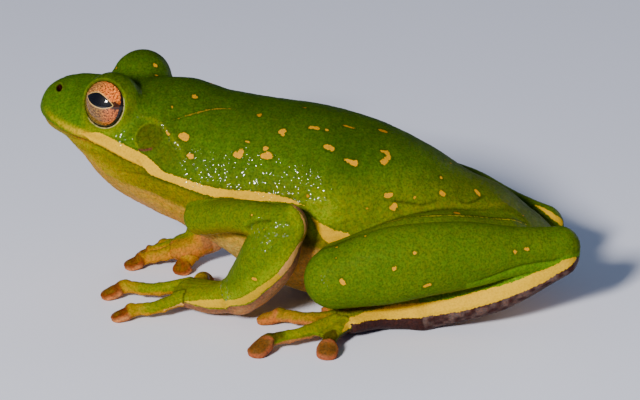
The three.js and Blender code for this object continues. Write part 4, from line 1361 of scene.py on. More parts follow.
# painted highlight below the eye
lay(HIGHLIGHT_GREEN, 0.6 * ridge(np.sqrt(((HM - np.array([6.2, 8.7, 1.6], F)) ** 2).sum(1)), 1.3))
lay(GREEN_BRIGHT, 0.22 * smooth(7.5, 5.0, H[:, 1]) * is_body * (over_band > 0))
# painted light on the flank behind the armpit, where the elbow shades it
lay(HIGHLIGHT_GREEN, 0.5 * ridge(np.sqrt(((P - np.array([8.9, 3.2, 11.7], F)) ** 2).sum(1)), 1.8) * is_body)
d, along = line_near(HM * np.array([0, 1, 1], F), [[0, 12.95, 1.42], [0, 13.5, 1.58], [0, 14.1, 1.95]], 1.0)
lay(PURPLE, 0.85 * ridge(d, 0.12) * (d < 0.95) * (HM[:, 0] > 5))
# painted light on the fold behind the armpit
lay(HIGHLIGHT_GREEN, 0.9 * axilla)
lay(GREEN_YELLOW, 0.65 * ridge(second - first - 0.55, 0.4) * is_body * smooth(8, 11, P[:, 1]) * smooth(9.5, 10.5, P[:, 2]))
lay(GREEN_YELLOW, 0.6 * fold_light)

# lids
rim_away = np.full(N, 9, F)
rim_back = np.zeros(N, F)
for side in (1, -1):
    e, g, up, forward = eye_axes(side)
    w = H - e
    near = np.flatnonzero((w * w).sum(1) < 30)
    wn = w[near]
    su, sf = wn @ up, wn @ forward
    away = np.sqrt(su * su + sf * sf) + F(1e-4)
    rim_away[near] = away - np.sqrt(np.maximum(SOCKET_R**2 - opening(sf, su, away) ** 2, 0)) + 3 * (wn @ g < 0)
    rim_back[near] = smooth(0.35, -0.45, (0.75 * sf + 0.66 * su) / away)
lay(GREEN_YELLOW, 0.55 * smooth(1.1, 0.25, rim_away) * (0.25 + 0.75 * rim_back))
lay(LID_DARK, 0.6 * smooth(0.32, 0.12, rim_away) * (1 - rim_back))
lay(LID_PALE, 0.75 * smooth(0.15, 0.09, rim_away) * smooth(0.55, 0.95, rim_back))
# the lids' margin and the socket's lining are black: painted shade in the gap round the eyeball
lay(BLACK, smooth(0.05, 0.0, rim_away))
T[hidden] = srgb(*BLACK)
lay(GREEN_YELLOW, 0.35 * pit_rim)
# the nostrils' pits are painted dark: painted shade in the openings
lay(NOSTRIL, pit * 1.4)

# the long stripe from the lip to the flank
STRIPE_HEAD = [[1.0, 0.30, 0.04], [2.4, 0.45, 0.06], [4.1, 0.46, 0.02], [5.6, 0.58, 0.10], [6.6, 0.74, 0.16], [7.2, 0.95, 0.2], [8.9, 1.24, 0.24], [10.5, 1.25, 0.18], [12.1, 1.25, 0.09], [13.3, 1.25, 0.14], [14.1, 1.15, 0.1], [14.9, 0.95, -0.28], [16.0, 0.5, -0.27], [17.8, 0.67, -0.2], [19.9, 0.77, -0.04], [21.5, 0.9, 0.26], [23.0, 1.0, 0.5], [25.0, 1.39, 0.9]]
STRIPE_TRUNK = [[-12.5, 13.9, 13.1], [-10.8, 13.62, 12.74], [-8.8, 13.22, 12.35], [-7.3, 13.05, 12.14], [-5.8, 12.97, 12.06], [-3.84, 13.06, 12.17], [-1.41, 12.96, 12.33], [0.24, 12.62, 12.3], [1.4, 12.15, 12.2]]
mid_h = (row(H[:, 1], STRIPE_HEAD) + row(H[:, 1], STRIPE_HEAD, 2)) / 2
mid_t = (row(P[:, 1], STRIPE_TRUNK) + row(P[:, 1], STRIPE_TRUNK, 2)) / 2
half_h = (row(H[:, 1], STRIPE_HEAD) - row(H[:, 1], STRIPE_HEAD, 2)) / 2
half_t = (row(P[:, 1], STRIPE_TRUNK) - row(P[:, 1], STRIPE_TRUNK, 2)) / 2
off = (H[:, 2] - mid_h) * (1 - BEHIND) + (P[:, 2] - mid_t) * BEHIND
half = half_h * (1 - BEHIND) + half_t * BEHIND
d = np.abs(off) - half + 0.03 * small
d = np.maximum(d, np.maximum(body_f - 0.3, 0.8 - HM[:, 1]))
d = np.where(P[:, 1] > 1.5, FAR, d)
taper = smooth(8.4, 6.6, H[:, 1]) * 0.35
stamp(np.where(is_body & (H[:, 1] > 6.7), d + taper, FAR), STRIPE)
lip = np.where(off > 0, ridge(off, 0.30), ridge(off, 0.22)) * smooth(8.0, 7.2, H[:, 1]) * smooth(0.8, 3.6, H[:, 1]) * is_body * (below < 0.1)
lay(LIP_GREEN, 0.9 * lip)
lay(MARK_YELLOW, 0.5 * lip * smooth(3.0, 7.5, H[:, 1]))
TRIANGLE = [[2.0, 11.35, 11.35], [2.2, 11.14, 11.1], [2.7, 10.8, 10.1], [3.08, 10.55, 9.3], [3.45, 10.35, 8.8], [3.91, 10.14, 8.5], [4.49, 9.92, 8.3], [5.32, 9.7, 8.2], [7, 9.2, 8.3], [10, 8.5, 8.5]]
d = np.maximum(P[:, 2] - row(P[:, 1], TRIANGLE), row(P[:, 1], TRIANGLE, 2) - P[:, 2]) * 0.8 + 0.05 * small
d = np.where((P[:, 1] > 1.8) & (P[:, 1] < 10) & is_body, d, FAR)
stamp(d, TRIANGLE_YELLOW)
d, along = line_near(P, curve([[3.62, -12.08, 18.23], [2.92, -9.89, 18.87], [2.31, -8.36, 19.15], [1.96, -5.98, 19.15]]), 1.0)
stamp(d - 0.065 * np.sin(np.pi * np.clip(along, 0.02, 0.98)) ** 0.5, SCAR)

# limbs
for k in range(1, len(PARTS)):
    q, (kind, side) = NEAR[k], PARTS[k]
    own = owner[q.i] == k
    i = q.i[own]
    s_, a_, u_ = q.s[own], q.a[own], q.u[own]
    lat = a_ * (SIGN[kind.rstrip("12345")] * side)
    turn = np.degrees(np.arctan2(u_, lat)).astype(F)
    r = np.sqrt(lat * lat + u_ * u_)
    arc = lambda degrees: np.radians(turn - degrees) * r
    wob = small[i] * 0.10 + mid[i] * 0.08
    far_hand = side < 0
    if kind == "upper":
        lay(GREEN_LIGHT, 0.35 + 0 * s_, i)
        lay(GREEN_YELLOW, 0.35 + 0.5 * smooth(1.2, 0.0, np.where(turn < -90, 0.0, arc(-38.0))), i)
        lay(OLIVE, smooth(0.5, -0.1, np.where(turn < -90, -1.0, arc(-38.0)) + wob) * 0.8, i)
        lay(GOLD, smooth(0.0, -1.2, np.where(turn < -90, -1.6, arc(-38.0)) + wob) * 0.8, i)
        lay(FLESH, smooth(150, 178, turn) * 0.6, i)
    elif kind == "fore":
        low_ = np.interp(s_, [0, 0.1, 0.232, 0.33, 0.42, 0.521, 0.661, 0.81, 0.984], [-84, -72, -56.5, -46.3, -35.8, -27.8, -27.0, -21.0, 7.0]).astype(F)
        top = np.interp(s_, [0, 0.067, 0.213, 0.307, 0.402, 0.493, 0.605, 0.741, 0.905, 1], [-68, -58, -40, -33, -23, -13, -7, -1, 15, 24]).astype(F)
        over = arc(low_)
        over = np.where(turn > 120, 2.0, over)
        lay(GREEN_LIGHT, 0.4 + 0 * s_, i)
        lay(GREEN_YELLOW, 0.55 * smooth(2.4, 0.2, over) + 0.25, i)
        # painted highlight on the forearm
        lay(HIGHLIGHT_GREEN, 0.55 * smooth(2.8, 0.8, over), i)
        lay(UNDER_BROWN, smooth(0.05, -0.25, over + wob), i)
        lay(FLESH, smooth(0.0, -1.6, over) * 0.7, i)
        lay(FLESH, smooth(120, 165, turn) * 0.9, i)
        lay(FAR_ORANGE, (0.55 * smooth(60, 130, turn) if far_hand else 0 * s_), i)
        band = np.where(np.abs(turn) < 110, np.maximum(arc(top), -arc(low_)) + 0.5 * wob, FAR)
        stamp(np.where(s_ > 0.36 + 0.5 * wob, band, FAR), EDGE, i)
        stamp(np.where(s_ <= 0.36 + 0.5 * wob, band, FAR), EDGE_DULL, i)
    elif kind == "palm":
        low_ = np.interp(s_, [0, 0.17, 0.517, 0.759, 1], [-27, -25.0, -6, -3, 0]).astype(F)
        top = np.interp(s_, [0, 0.072, 0.3, 0.5, 0.66, 0.8, 1], [-1, -1.0, 4, 8, 4, 0, -3]).astype(F)
        over = np.where(turn > 150, 2.0, arc(low_))
        lay(GREEN_LIGHT, 0.5 + 0 * s_, i)
        lay(FOOT_TOP, 0.5 + 0 * s_, i)
        lay(UNDER_BROWN, smooth(0.05, -0.25, over + wob), i)
        lay(FLESH, smooth(-0.3, -1.4, over) * 0.6, i)
        if far_hand:
            lay(FAR_ORANGE, 0.9 * smooth(-0.1, 0.25, 0.75 - u_ - 0.3 * lat), i)
            lay(UNDER_BROWN, 0.6 * smooth(0.1, 0.7, mid[i] + 0.4 * small[i]) * smooth(-0.1, 0.25, 0.6 - u_ - 0.3 * lat), i)
            lay(GREEN_YELLOW, 0.5 * smooth(0.0, -0.7, mid[i]) * smooth(0.2, 0.6, u_), i)
        else:
            lay(FAR_ORANGE, 0.5 * smooth(0.2, -0.3, u_) * smooth(0.3, -0.6, lat), i)
        stamp(np.where(np.abs(turn) < 110, np.maximum(arc(top), -arc(low_)) + 0.5 * wob, FAR), EDGE, i)
    elif kind.startswith("finger"):
        lay(GREEN_LIGHT, 0.55 + 0 * s_, i)
        lay(FOOT_TOP, 0.5 + 0 * s_, i)
        side_on = smooth(0.12, -0.22, u_ + 0.25 * lat + wob)
        lay(FINGER_SIDE, side_on, i)
        lay(FAR_ORANGE, (0.8 * smooth(0.62, 0.15, u_ - 0.4 * smooth(0.3, 0.0, s_)) if far_hand else 0.0 * s_), i)
        if kind in ("finger1", "finger2"):
            lay(FINGER_SIDE, (0.75 if kind == "finger1" else 0.4) + 0 * s_, i)
        lay(FINGER_SIDE, 0.5 * smooth(0.5, 0.76, s_), i)
        lay(DISC, smooth(0.78, 0.86, s_ + wob * 0.5), i)
        lay(DISC_PALE, smooth(0.8, 0.88, s_) * smooth(0.25, -0.25, u_ + 1.5 * wob) * 0.8, i)
        lay(DISC_DARK, smooth(0.8, 0.88, s_) * smooth(0.2, 0.5, u_ + wob) * (0.8 if kind == "finger4" else 0.5), i)
        lay(OLIVE, smooth(0.8, 0.88, s_) * smooth(0.2, 0.5, u_) * np.clip(0.5 + mid[i] + small[i], 0, 1) * 0.35, i)
        if kind == "finger4":
            stamp(np.maximum(np.abs(arc(-20.0)) - 0.24 * smooth(0.45, 0.0, s_), (s_ - 0.4) * 3) + 0.5 * wob, EDGE_DULL, i)
    elif kind == "thigh":
        lay(GREEN_LIGHT, 0.4 + 0 * s_, i)
        lay(GREEN_YELLOW, 0.3 + 0 * s_, i)
        lay(CREAM, smooth(0.2, -0.8, u_ + wob) * 0.9, i)
        lay(THIGH_BACK, smooth(-0.6, -1.6, lat) * smooth(1.2, 0.2, u_) * 0.7, i)
        lay(ORANGE, smooth(0.0, -1.5, u_) * np.clip(0.3 + mid[i], 0, 1) * 0.5, i)
        line = np.interp(s_, [0.04, 0.18, 0.31, 0.48, 0.62], [0.77, 0.78, 0.9, 0.45, -0.52])
        # painted shade in a line just above the thin line
        painted_shade[i] += 0.8 * ridge(lat - line + 0.13, 0.10) * smooth(1.0, 1.6, u_) * smooth(0.7, 0.6, s_)
        stamp(np.maximum(np.abs(lat - line) - 0.055, np.maximum(1 - u_, (s_ - 0.7) * 6)) + 0.5 * wob, THIN_LINE, i)
    elif kind == "shank":
        lay(GREEN_LIGHT, 0.4 + 0.2 * mid[i], i)
        lay(GREEN_YELLOW, 0.45 + 0.25 * mid[i], i)
        lay(GREEN, 0.6 + 0 * s_, i)
        hem = np.interp(s_, [0.565, 0.647, 0.714, 0.782, 0.862, 0.946, 1.0], [-2.01, -1.68, -1.24, -0.84, -0.62, -0.58, -0.1]).astype(F)
        lay(GREEN_BRIGHT, 0.7 * smooth(0.05, -0.15, u_ - hem) * (lat > 0.3) * (s_ > 0.55), i)
        lay(FLESH, smooth(0.3, -0.5, np.where(turn < -110, -1.0, arc(-84.0)) + wob) * 0.9, i)
        lay(THIGH_BACK, smooth(140, 175, turn) * 0.6, i)
    elif kind == "tarsus":
        top = np.interp(s_, [0, 0.1, 0.226, 0.346, 0.458, 0.573, 0.69, 0.783, 0.916, 1], [11, 17, 23, 27, 36, 40, 38, 36, 39, 42]).astype(F)
        low_ = np.interp(s_, [0, 0.155, 0.273, 0.385, 0.497, 0.602, 0.714, 0.801, 0.935, 1], [-22, -23, -16, -10, -8.5, -6, -8, -6, -2, 0]).astype(F)
        over = np.where((turn < -110) | (turn > 150), 0, arc(low_))
        lay(GREEN_BRIGHT, 0.7 + 0 * s_, i)
        under = np.where(turn < low_ + 9, 1.0, 0.0) * smooth(0.32, 0.16, arc(low_))
        # the dark underside, partly painted shade beneath the tarsus
        lay(UNDERSIDE_DARK_AND_SHADE, under, i)
        lay(UNDER_GREY, under * np.clip(0.5 + 1.2 * small[i], 0, 1) * 0.5, i)
        lay(FLESH, smooth(-95, -140, turn) * 0.8 + smooth(140, 170, turn) * 0.8, i)
        stamp(np.where(np.abs(turn) < 100, np.maximum(arc(top), -arc(low_)) + 0.5 * wob, FAR), TARSUS_STRIPE, i)
    elif kind == "foot":
        top = np.interp(s_, [0, 0.114, 0.322, 0.6, 0.818, 1], [44, 44, 41, 34, 35, 28]).astype(F)
        low_ = np.interp(s_, [0, 0.118, 0.335, 0.665, 0.904, 1], [0, 0.5, -0.3, 4, 10, 8]).astype(F)
        lay(GREEN_BRIGHT, 0.45 + 0 * s_, i)
        under = np.where(turn < low_ + 9, 1.0, 0.0) * smooth(0.32, 0.16, arc(low_))
        lay(FOOT_TOP, 0.75 + 0 * s_, i)
        # the dark underside, partly painted shade beneath the foot
        lay(UNDERSIDE_DARK_AND_SHADE, under, i)
        lay(FLESH, smooth(-95, -140, turn) * 0.8 + smooth(150, 172, turn) * 0.8, i)
        stamp(np.where(np.abs(turn) < 100, np.maximum(arc(top), -arc(low_)) + 0.5 * wob, FAR), TARSUS_STRIPE, i)
    else:
        lay(GREEN_LIGHT, 0.3 + 0 * s_, i)
        lay(TOE_OLIVE, 0.55 * smooth(0.2, 0.7, s_), i)
        side_on = smooth(0.05, -0.25, u_ + wob + (0.3 if kind == "toe5" else 0.12 if kind == "toe4" else 0.0))
        lay(TOE_SIDE, side_on, i)
        if kind in ("toe4", "toe5"):
            lay(FOOT_TOP, 0.7 * smooth(0.7, 0.5, s_) * smooth(-0.1, 0.2, u_), i)
            lay(TOE_CAP, 0.85 * smooth(0.54, 0.64, s_ + wob) * smooth(-0.1, 0.25, u_ + wob), i)
        lay(TOE_PINK, smooth(0.78, 0.86, s_ + wob * 0.5), i)
        lay(TOE_CAP if kind in ("toe4", "toe5") else OLIVE, smooth(0.8, 0.88, s_) * smooth(0.05, 0.5, u_ + wob) * 0.7, i)
        if kind in ("toe3", "toe2", "toe1"):
            lay(FAR_ORANGE, 0.45 * smooth(0.9, 0.3, u_), i)
        if kind == "toe5":
            # the dark underside of the toe's base, partly painted shade
            lay(UNDERSIDE_DARK_AND_SHADE, smooth(0.1, -0.3, arc(0.0)) * smooth(0.75, 0.5, s_) * 0.8, i)
            stamp(np.maximum(np.abs(arc(np.interp(s_, [0, 0.2, 0.5], [18, 17, 8]).astype(F))) - 0.36 * smooth(0.52, 0.12, s_), (s_ - 0.48) * 3) + 0.5 * wob, TARSUS_STRIPE, i)

d, along = line_near(P, curve([[-6.4, 21.9, 7.9], [-6.05, 22.49, 7.79], [-5.74, 22.91, 7.65], [-5.56, 23.32, 7.46], [-5.49, 23.72, 7.21], [-5.54, 24.11, 6.91], [-5.81, 24.48, 6.52]]), 1.5)
stamp(d - 0.12 - 0.26 * np.clip(along, 0, 1) + 0.05 * small, TARSUS_STRIPE)

# yellow spots: (one end, other end, radius)
for a, b, radius, tone in SPOTS:
    ends, _ = settle(np.array([a, b], F), 6, 0.5)
    i = np.flatnonzero(np.all((P > ends.min(0) - 1.3) & (P < ends.max(0) + 1.3), axis=1))
    if len(i):
        d, _ = line_distance(P[i], ends)
        stamp(d - radius + 0.035 + (0.16 * small[i] + 0.07 * mid[i]) * min(1, radius / 0.2), SPOT if tone else SPOT_FAINT, i)
rng = np.random.default_rng(12)
able = np.flatnonzero(is_body & (up_n > 0.15) & (normals[:, 0] < -0.4) & (P[:, 0] < -1.2) & (P[:, 1] > -19) & (over_band > 2.0) & (rim_away > 1.5))
chosen = []
while len(chosen) < 26:
    n = able[rng.integers(len(able))]
    c = P[n]
    if np.sqrt(((HM[n] - EYE_AT) ** 2).sum()) > 4.1 and all(np.linalg.norm(c - o) > 1.9 for o in chosen):
        chosen.append(c)
limb_able = np.flatnonzero(np.isin(owner, [k for k in range(1, len(PARTS)) if PARTS[k] in (("shank", -1), ("thigh", -1), ("fore", -1))]) & (up_n > 0.2) & (normals[:, 0] < -0.3))
for _ in range(8):
    chosen.append(P[limb_able[rng.integers(len(limb_able))]])
for c in chosen:
    radius = rng.uniform(0.14, 0.42)
    away = rng.normal(size=3) * 0.22
    ends, _ = settle(np.array([c - away, c + away], F), 4, 0.5)
    i = np.flatnonzero(((P - c) ** 2).sum(1) < 2.5)
    d, _ = line_distance(P[i], ends)
    stamp(d - radius + 0.09 * small[i] + 0.05 * mid[i], SPOT, i)

# a dark hem round the spots, and painted shade in the folds and in the grooves between the granules
hem = ridge(MARK - 0.10, 0.08) * (MARK > 0) * np.isin(owner, [0] + [k for k in range(1, len(PARTS)) if PARTS[k][0] in ("shank", "thigh", "fore", "upper")])
T *= (1 - 0.28 * hem)[:, None].astype(F)
shade = np.clip(1 - 0.68 * np.clip(painted_shade, 0, 1), 0.25, 1).astype(F)
grain_shade = (0.80 + 0.20 * np.where(coarse > 0.5, g_coarse, g_fine)).astype(F)
streak = 1 + 0.10 * waves(np.stack([P[:, 0] * 0.5, P[:, 1] * 2.6, P[:, 2] * 0.5], 1).astype(F), 0.9, 51) * is_body * smooth(0.0, 0.3, over_band)
T *= (shade * grain_shade * streak * (1 + 0.07 * small))[:, None].astype(F)
MARK_TINT *= (shade * (0.9 + 0.1 * grain_shade) * (1 + 0.05 * mid))[:, None].astype(F)
np.clip(T, 0.0015, 1, out=T)
tick("colours")


def add_mesh(name, v, faces, more=(), uv=None, more_uv=(), values={}):
    me = bpy.data.meshes.new(name)
    total = len(faces) * 4 + sum(len(f) for f in more)
    me.vertices.add(len(v))
    me.vertices.foreach_set("co", np.asarray(v, np.float32).ravel())
    me.loops.add(total)
    index = np.concatenate([np.asarray(faces, np.int32).ravel()] + [np.array(f, np.int32) for f in more])
    me.loops.foreach_set("vertex_index", index)
    sizes = np.concatenate([np.full(len(faces), 4, np.int32), np.array([len(f) for f in more], np.int32)])
    me.polygons.add(len(sizes))
    me.polygons.foreach_set("loop_start", np.r_[0, np.cumsum(sizes)[:-1]].astype(np.int32))
    me.polygons.foreach_set("use_smooth", np.ones(len(sizes), bool))
    me.update(calc_edges=True)
    if uv is not None:
        layer = me.uv_layers.new(name="OFBake", do_init=False)
        corners = np.concatenate([uv.reshape(-1, 2)] + [np.asarray(u, F).reshape(-1, 2) for u in more_uv])
        layer.uv.foreach_set("vector", corners.astype(F).ravel())
    for key, data in values.items():
        if data.ndim == 2:
            at = me.attributes.new(key, "FLOAT_COLOR", "POINT")
            at.data.foreach_set("color", np.hstack([data, np.ones((len(data), 1))]).astype(F).ravel())
        else:
            at = me.attributes.new(key, "FLOAT", "POINT")
            at.data.foreach_set("value", data.astype(F))
    me.validate()
    ob = bpy.data.objects.new(name, me)
    bpy.context.scene.collection.objects.link(ob)
    return ob


# ---------------------------------------------------------------- materials
class Tree:
    """Short ways to place and wire shader nodes."""

    def __init__(self, name):
        self.material = bpy.data.materials.new(name)
        self.material.use_nodes = True
        self.nodes, self.links = self.material.node_tree.nodes, self.material.node_tree.links
        self.shader = self.nodes["Principled BSDF"]

    def to(self, socket, value):
        if hasattr(value, "is_output"):
            self.links.new(value, socket)
        else:
            socket.default_value = value

    def attribute(self, name, out="Fac"):
        n = self.nodes.new("ShaderNodeAttribute")
        n.attribute_name = name
        return n.outputs[out]

    def mix(self, fac, a, b, kind="MIX"):
        n = self.nodes.new("ShaderNodeMix")
        n.data_type, n.blend_type = "RGBA", kind
        self.to(n.inputs[0], fac)
        self.to(n.inputs[6], a)
        self.to(n.inputs[7], b)
        return n.outputs[2]

    def math(self, kind, a, b=0.0, c=0.0):
        n = self.nodes.new("ShaderNodeMath")
        n.operation = kind
        for socket, value in zip(n.inputs, (a, b, c)):
            self.to(socket, value)
        return n.outputs[0]

    def span(self, value, a, b, c=0.0, d=1.0):
        n = self.nodes.new("ShaderNodeMapRange")
        n.interpolation_type = "SMOOTHSTEP"
        self.to(n.inputs["Value"], value)
        for key, x in (("From Min", a), ("From Max", b), ("To Min", c), ("To Max", d)):
            n.inputs[key].default_value = x
        return n.outputs[0]

    def noise(self, vector, scale, detail=2.0, rough=0.5):
        n = self.nodes.new("ShaderNodeTexNoise")
        self.to(n.inputs["Vector"], vector)
        n.inputs["Scale"].default_value = scale
        n.inputs["Detail"].default_value = detail
        n.inputs["Roughness"].default_value = rough
        return n.outputs[0]

    def set(self, **values):
        for key, value in values.items():
            self.to(self.shader.inputs[key.replace("_", " ")], value)


t = Tree("skin")
place = t.nodes.new("ShaderNodeTexCoord").outputs["Object"]
jag = t.noise(place, 4400.0, 3.0)
edge_at = t.math("MULTIPLY_ADD", jag, 0.36, -0.18)
inside = t.span(t.math("ADD", t.attribute("mark"), edge_at), 0.035, -0.035)
warm = t.span(t.noise(place, 2600.0, 4.0, 0.6), 0.42, 0.62, 0.0, 0.75)
speck = t.noise(place, 5200.0, 4.0, 0.68)
plain = t.mix(1.0, t.attribute("tint", "Color"), t.mix(warm, (0.92, 1.03, 1.0, 1), (1.20, 0.99, 0.8, 1)), "MULTIPLY")
plain = t.mix(1.0, plain, t.mix(t.span(speck, 0.36, 0.64, 0.66, 1.24), (0, 0, 0, 1), (1, 1, 1, 1)), "MULTIPLY")
marked = t.mix(1.0, t.attribute("mark_tint", "Color"), t.mix(t.span(speck, 0.36, 0.64, 0.84, 1.06), (0, 0, 0, 1), (1, 1, 1, 1)), "MULTIPLY")
base = t.mix(inside, plain, marked)
t.set(Base_Color=base)
bump = t.nodes.new("ShaderNodeBump")
bump.inputs["Strength"].default_value = 0.35
bump.inputs["Distance"].default_value = 0.00004
t.to(bump.inputs["Height"], t.noise(place, 7000.0, 3.0, 0.65))
t.set(Normal=bump.outputs[0])
# drops of water and wet granules: small glossy domes
cells = t.nodes.new("ShaderNodeTexVoronoi")
t.to(cells.inputs["Vector"], place)
cells.inputs["Scale"].default_value = 2900.0
away_from_drop = cells.outputs["Distance"]
drops = t.nodes.new("ShaderNodeBump")
drops.inputs["Strength"].default_value = 1.0
drops.inputs["Distance"].default_value = 0.000021
t.to(drops.inputs["Height"], t.span(t.math("MULTIPLY", away_from_drop, away_from_drop), 0.16, 0.0))
t.to(t.shader.inputs["Coat Normal"], drops.outputs[0])
some = t.span(t.noise(place, 1500.0, 2.0, 0.6), 0.46, 0.52)
drop = t.math("MULTIPLY", t.math("MULTIPLY", t.span(t.attribute("wet"), 0.05, 0.5), some), t.span(away_from_drop, 0.37, 0.33))
t.set(Roughness=t.span(t.noise(place, 2500.0, 2.0), 0.3, 0.7, 0.38, 0.52))
t.set(Coat_Weight=drop, Coat_Roughness=0.13, Coat_IOR=1.9, IOR=1.38)
t.set(Specular_IOR_Level=0.02)
t.set(Subsurface_Weight=0.10, Subsurface_Radius=(0.9, 0.6, 0.2), Subsurface_Scale=0.0007)

skin = add_mesh(
    "skin", (final + SHIFT) / 1000, quads, loose, flat, loose_flat,
    dict(tint=T, mark=MARK, mark_tint=np.clip(MARK_TINT, 0, 1), wet=wet),
)
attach(skin, "root")
flesh = [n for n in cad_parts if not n.startswith("eye")]
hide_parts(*flesh)
skin.data.materials.append(t.material)
tick(f"skin made, {len(skin.data.polygons)} faces")

# ---------------------------------------------------------------- eyes
PUPIL_FORWARD, PUPIL_UP, PUPIL_TILT = math.radians(2.7), math.radians(11.5), math.radians(7.2)


def eyeball(side):
    """A ball with the pupil's and iris's outlines kept as distances in mm at its points."""
    e, g, up, forward = (np.asarray(x, float) for x in eye_axes(side))
    rings, turns = ((150, 220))
    phi = np.pi * (np.linspace(0, 1, rings + 1)[1:-1] ** 1.25)
    psi = np.linspace(0, 2 * np.pi, turns, endpoint=False)
    way = np.cos(psi)[:, None] * forward + np.sin(psi)[:, None] * up
    d = (np.cos(phi)[:, None, None] * g + np.sin(phi)[:, None, None] * way[None]).reshape(-1, 3)
    d = np.vstack([g, d, -g])
    # the cornea stands out a little
    angle = np.arccos(np.clip(d @ g, -1, 1))
    radius = EYE_R * (1 + 0.012 * np.exp(-((angle / 0.62) ** 2)))
    v = from_head(e + d * radius[:, None])
    n, m = rings - 1, turns
    at = lambda i, j: 1 + i * m + j % m
    j = np.arange(m)
    quads = np.concatenate([np.stack([at(i, j), at(i + 1, j), at(i + 1, j + 1), at(i, j + 1)], 1) for i in range(n - 1)])
    tops = [[0, int(at(0, x)), int(at(0, x + 1))] for x in range(m)]
    tails = [[len(v) - 1, int(at(n - 1, x + 1)), int(at(n - 1, x))] for x in range(m)]
    if side < 0:
        quads = quads[:, ::-1]
        tops, tails = [f[::-1] for f in tops], [f[::-1] for f in tails]
    # flat coordinates round the pupil's middle, forward and up, in mm along the ball
    c = g * math.cos(PUPIL_FORWARD) + forward * math.sin(PUPIL_FORWARD)
    c = c * math.cos(PUPIL_UP) + up * math.sin(PUPIL_UP)
    x_axis = forward - c * (forward @ c)
    x_axis /= np.linalg.norm(x_axis)
    y_axis = np.cross(c, x_axis) * -side
    y_axis *= np.sign(y_axis @ up)
    off = np.arccos(np.clip(d @ c, -1, 1)) * EYE_R
    # its long axis rises a little to the rear
    x_axis, y_axis = (
        x_axis * math.cos(PUPIL_TILT) - y_axis * math.sin(PUPIL_TILT),
        y_axis * math.cos(PUPIL_TILT) + x_axis * math.sin(PUPIL_TILT),
    )
    fx, fy = d @ x_axis, d @ y_axis
    length = np.sqrt(fx * fx + fy * fy) + 1e-9
    X, Y = fx / length * off, fy / length * off
    # the pupil: arched above, flatter below, blunter in front than behind
    top = 0.68 * (1 - np.abs((X - 0.18) / 1.62) ** 1.6)
    low = -0.68 * (1 - np.abs((X + 0.25) / np.where(X > -0.25, 1.94, 1.48)) ** 2.2)
    pupil = np.maximum(Y - top, low - Y)
    pupil = np.maximum(pupil, np.maximum(X - 1.7, -1.52 - X))
    # the black edge by the lids, broad behind and below: the membrane's dark edge together with painted shade in the
    # gap under the lids
    sf, su = d @ forward, d @ up
    across = np.sqrt(sf * sf + su * su) + 1e-9
    limit = np.arccos(opening(sf, su, across) / SOCKET_R)
    behind = smooth(0.25, -0.75, (0.8 * sf + 0.6 * su) / across)
    under = smooth(0.1, -0.8, su / across)
    ring = (limit - angle) * EYE_R - (0.03 + 0.36 * np.maximum(behind, 0.45 * under))
    ob = add_mesh(
        "eyeball_left" if side > 0 else "eyeball_right", (v + SHIFT) / 1000, quads, tops + tails,
        values=dict(pupil=pupil, ring=ring, eye_x=X, eye_y=Y),
    )
    return ob


t = Tree("eye")
x, y = t.attribute("eye_x"), t.attribute("eye_y")
xy = t.nodes.new("ShaderNodeCombineXYZ")
t.to(xy.inputs[0], x)
t.to(xy.inputs[1], y)
xy = xy.outputs[0]
grain = t.noise(xy, 4.5, 4.0, 0.7)
veins = t.nodes.new("ShaderNodeTexVoronoi")
veins.feature = "DISTANCE_TO_EDGE"
t.to(veins.inputs["Vector"], xy)
veins.inputs["Scale"].default_value = 5.0
vein = veins.outputs[0]
upper = t.span(y, -0.25, 0.25)
rear = t.span(x, 0.9, -0.6)
above = t.mix(rear, (*srgb(158, 106, 48).tolist(), 1), (*srgb(238, 112, 26).tolist(), 1))
under = t.mix(t.span(x, 0.0, -1.7), (*srgb(106, 80, 34).tolist(), 1), (*srgb(186, 92, 34).tolist(), 1))
iris = t.mix(upper, under, above)
fleck = t.math("MULTIPLY", t.span(grain, 0.46, 0.62, 0.0, 0.75), t.span(y, -0.25, 0.25, 0.3, 1.0))
iris = t.mix(fleck, iris, (*srgb(250, 160, 70).tolist(), 1))
iris = t.mix(t.span(t.noise(xy, 5.5, 3.0, 0.75), 0.52, 0.43, 0.0, 0.95), iris, (*srgb(40, 16, 4).tolist(), 1))
iris = t.mix(t.span(vein, 0.09, 0.0, 0.0, 0.7), iris, (*srgb(60, 28, 8).tolist(), 1))
smudge = t.math("POWER", t.math("MULTIPLY", t.math("ADD", x, 1.75), 0.75), 2.0)
smudge = t.math("ADD", smudge, t.math("POWER", t.math("ADD", y, 0.08), 2.0))
smudge = t.math("ADD", smudge, t.math("MULTIPLY", grain, 0.12))
iris = t.mix(t.span(smudge, 0.36, 0.15, 0.0, 0.95), iris, (*srgb(26, 10, 4).tolist(), 1))
pupil = t.attribute("pupil")
iris = t.mix(t.span(pupil, 0.12, 0.04, 0.0, 0.6), iris, (*srgb(214, 178, 104).tolist(), 1))
edge_noise = t.math("MULTIPLY_ADD", t.noise(xy, 4.0, 2.0), 0.10, -0.05)
iris = t.mix(t.span(t.math("ADD", t.attribute("ring"), edge_noise), 0.05, -0.05), iris, (*srgb(14, 10, 10).tolist(), 1))
iris = t.mix(t.span(pupil, 0.02, -0.02), iris, (*srgb(5, 5, 12).tolist(), 1))
t.set(Base_Color=iris, Roughness=0.5, IOR=1.38, Coat_Weight=0.8, Coat_Roughness=0.025)
t.set(Specular_IOR_Level=0.1)
for side, node in ((1, "eye_left"), (-1, "eye_right")):
    ball = eyeball(side)
    ball.data.materials.append(t.material)
    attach(ball, "root")
    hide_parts(node)
tick("eyes made")


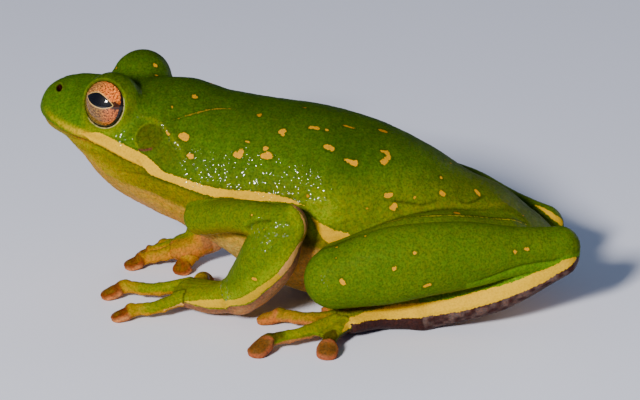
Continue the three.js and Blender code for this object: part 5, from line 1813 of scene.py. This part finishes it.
# ---------------------------------------------------------------- stage
floor_mesh = bpy.data.meshes.new("floor")
R = 3.0
floor_mesh.from_pydata([(-R, -R, 0), (R, -R, 0), (R, R, 0), (-R, R, 0)], [], [(0, 1, 2, 3)])
floor = bpy.data.objects.new("floor", floor_mesh)
bpy.context.scene.collection.objects.link(floor)
fm = bpy.data.materials.new("floor")
fm.use_nodes = True
fm.node_tree.nodes["Principled BSDF"].inputs["Base Color"].default_value = (0.79, 0.82, 0.99, 1)
fm.node_tree.nodes["Principled BSDF"].inputs["Roughness"].default_value = 0.7
floor_mesh.materials.append(fm)

AZ, EL, DIST = math.radians(98), math.radians(19), 0.4
target = np.array([-2.947, 0.743, 8.574]) / 1000
away = np.array([math.sin(AZ) * math.cos(EL), -math.cos(AZ) * math.cos(EL), math.sin(EL)])
cam_data = bpy.data.cameras.new("camera")
cam_data.lens = 231.75
cam_data.sensor_width = 36
cam_data.clip_start = 0.01
cam = bpy.data.objects.new("camera", cam_data)
cam.location = target + away * DIST
from mathutils import Vector

cam.rotation_euler = Vector(-away).to_track_quat("-Z", "Y").to_euler()
bpy.context.scene.collection.objects.link(cam)
bpy.context.scene.camera = cam


def area(name, azimuth, elevation, distance, size, power, colour=(1, 1, 1)):
    a, e = math.radians(azimuth), math.radians(elevation)
    way = Vector((math.sin(a) * math.cos(e), -math.cos(a) * math.cos(e), math.sin(e)))
    data = bpy.data.lights.new(name, "AREA")
    data.energy, data.size, data.color = power, size, colour
    ob = bpy.data.objects.new(name, data)
    ob.location = way * distance
    ob.rotation_euler = (-way).to_track_quat("-Z", "Y").to_euler()
    bpy.context.scene.collection.objects.link(ob)


area("key", 77, 26, 0.5, 0.06, 5.3, (1.0, 0.95, 0.86))
area("fill", 236, 15, 0.6, 0.3, 0.95, (0.9, 0.95, 1.0))
world = bpy.data.worlds.new("studio")
world.use_nodes = True
world.node_tree.nodes["Background"].inputs["Color"].default_value = (0.44, 0.63, 1.0, 1)
world.node_tree.nodes["Background"].inputs["Strength"].default_value = 0.17
bpy.context.scene.world = world
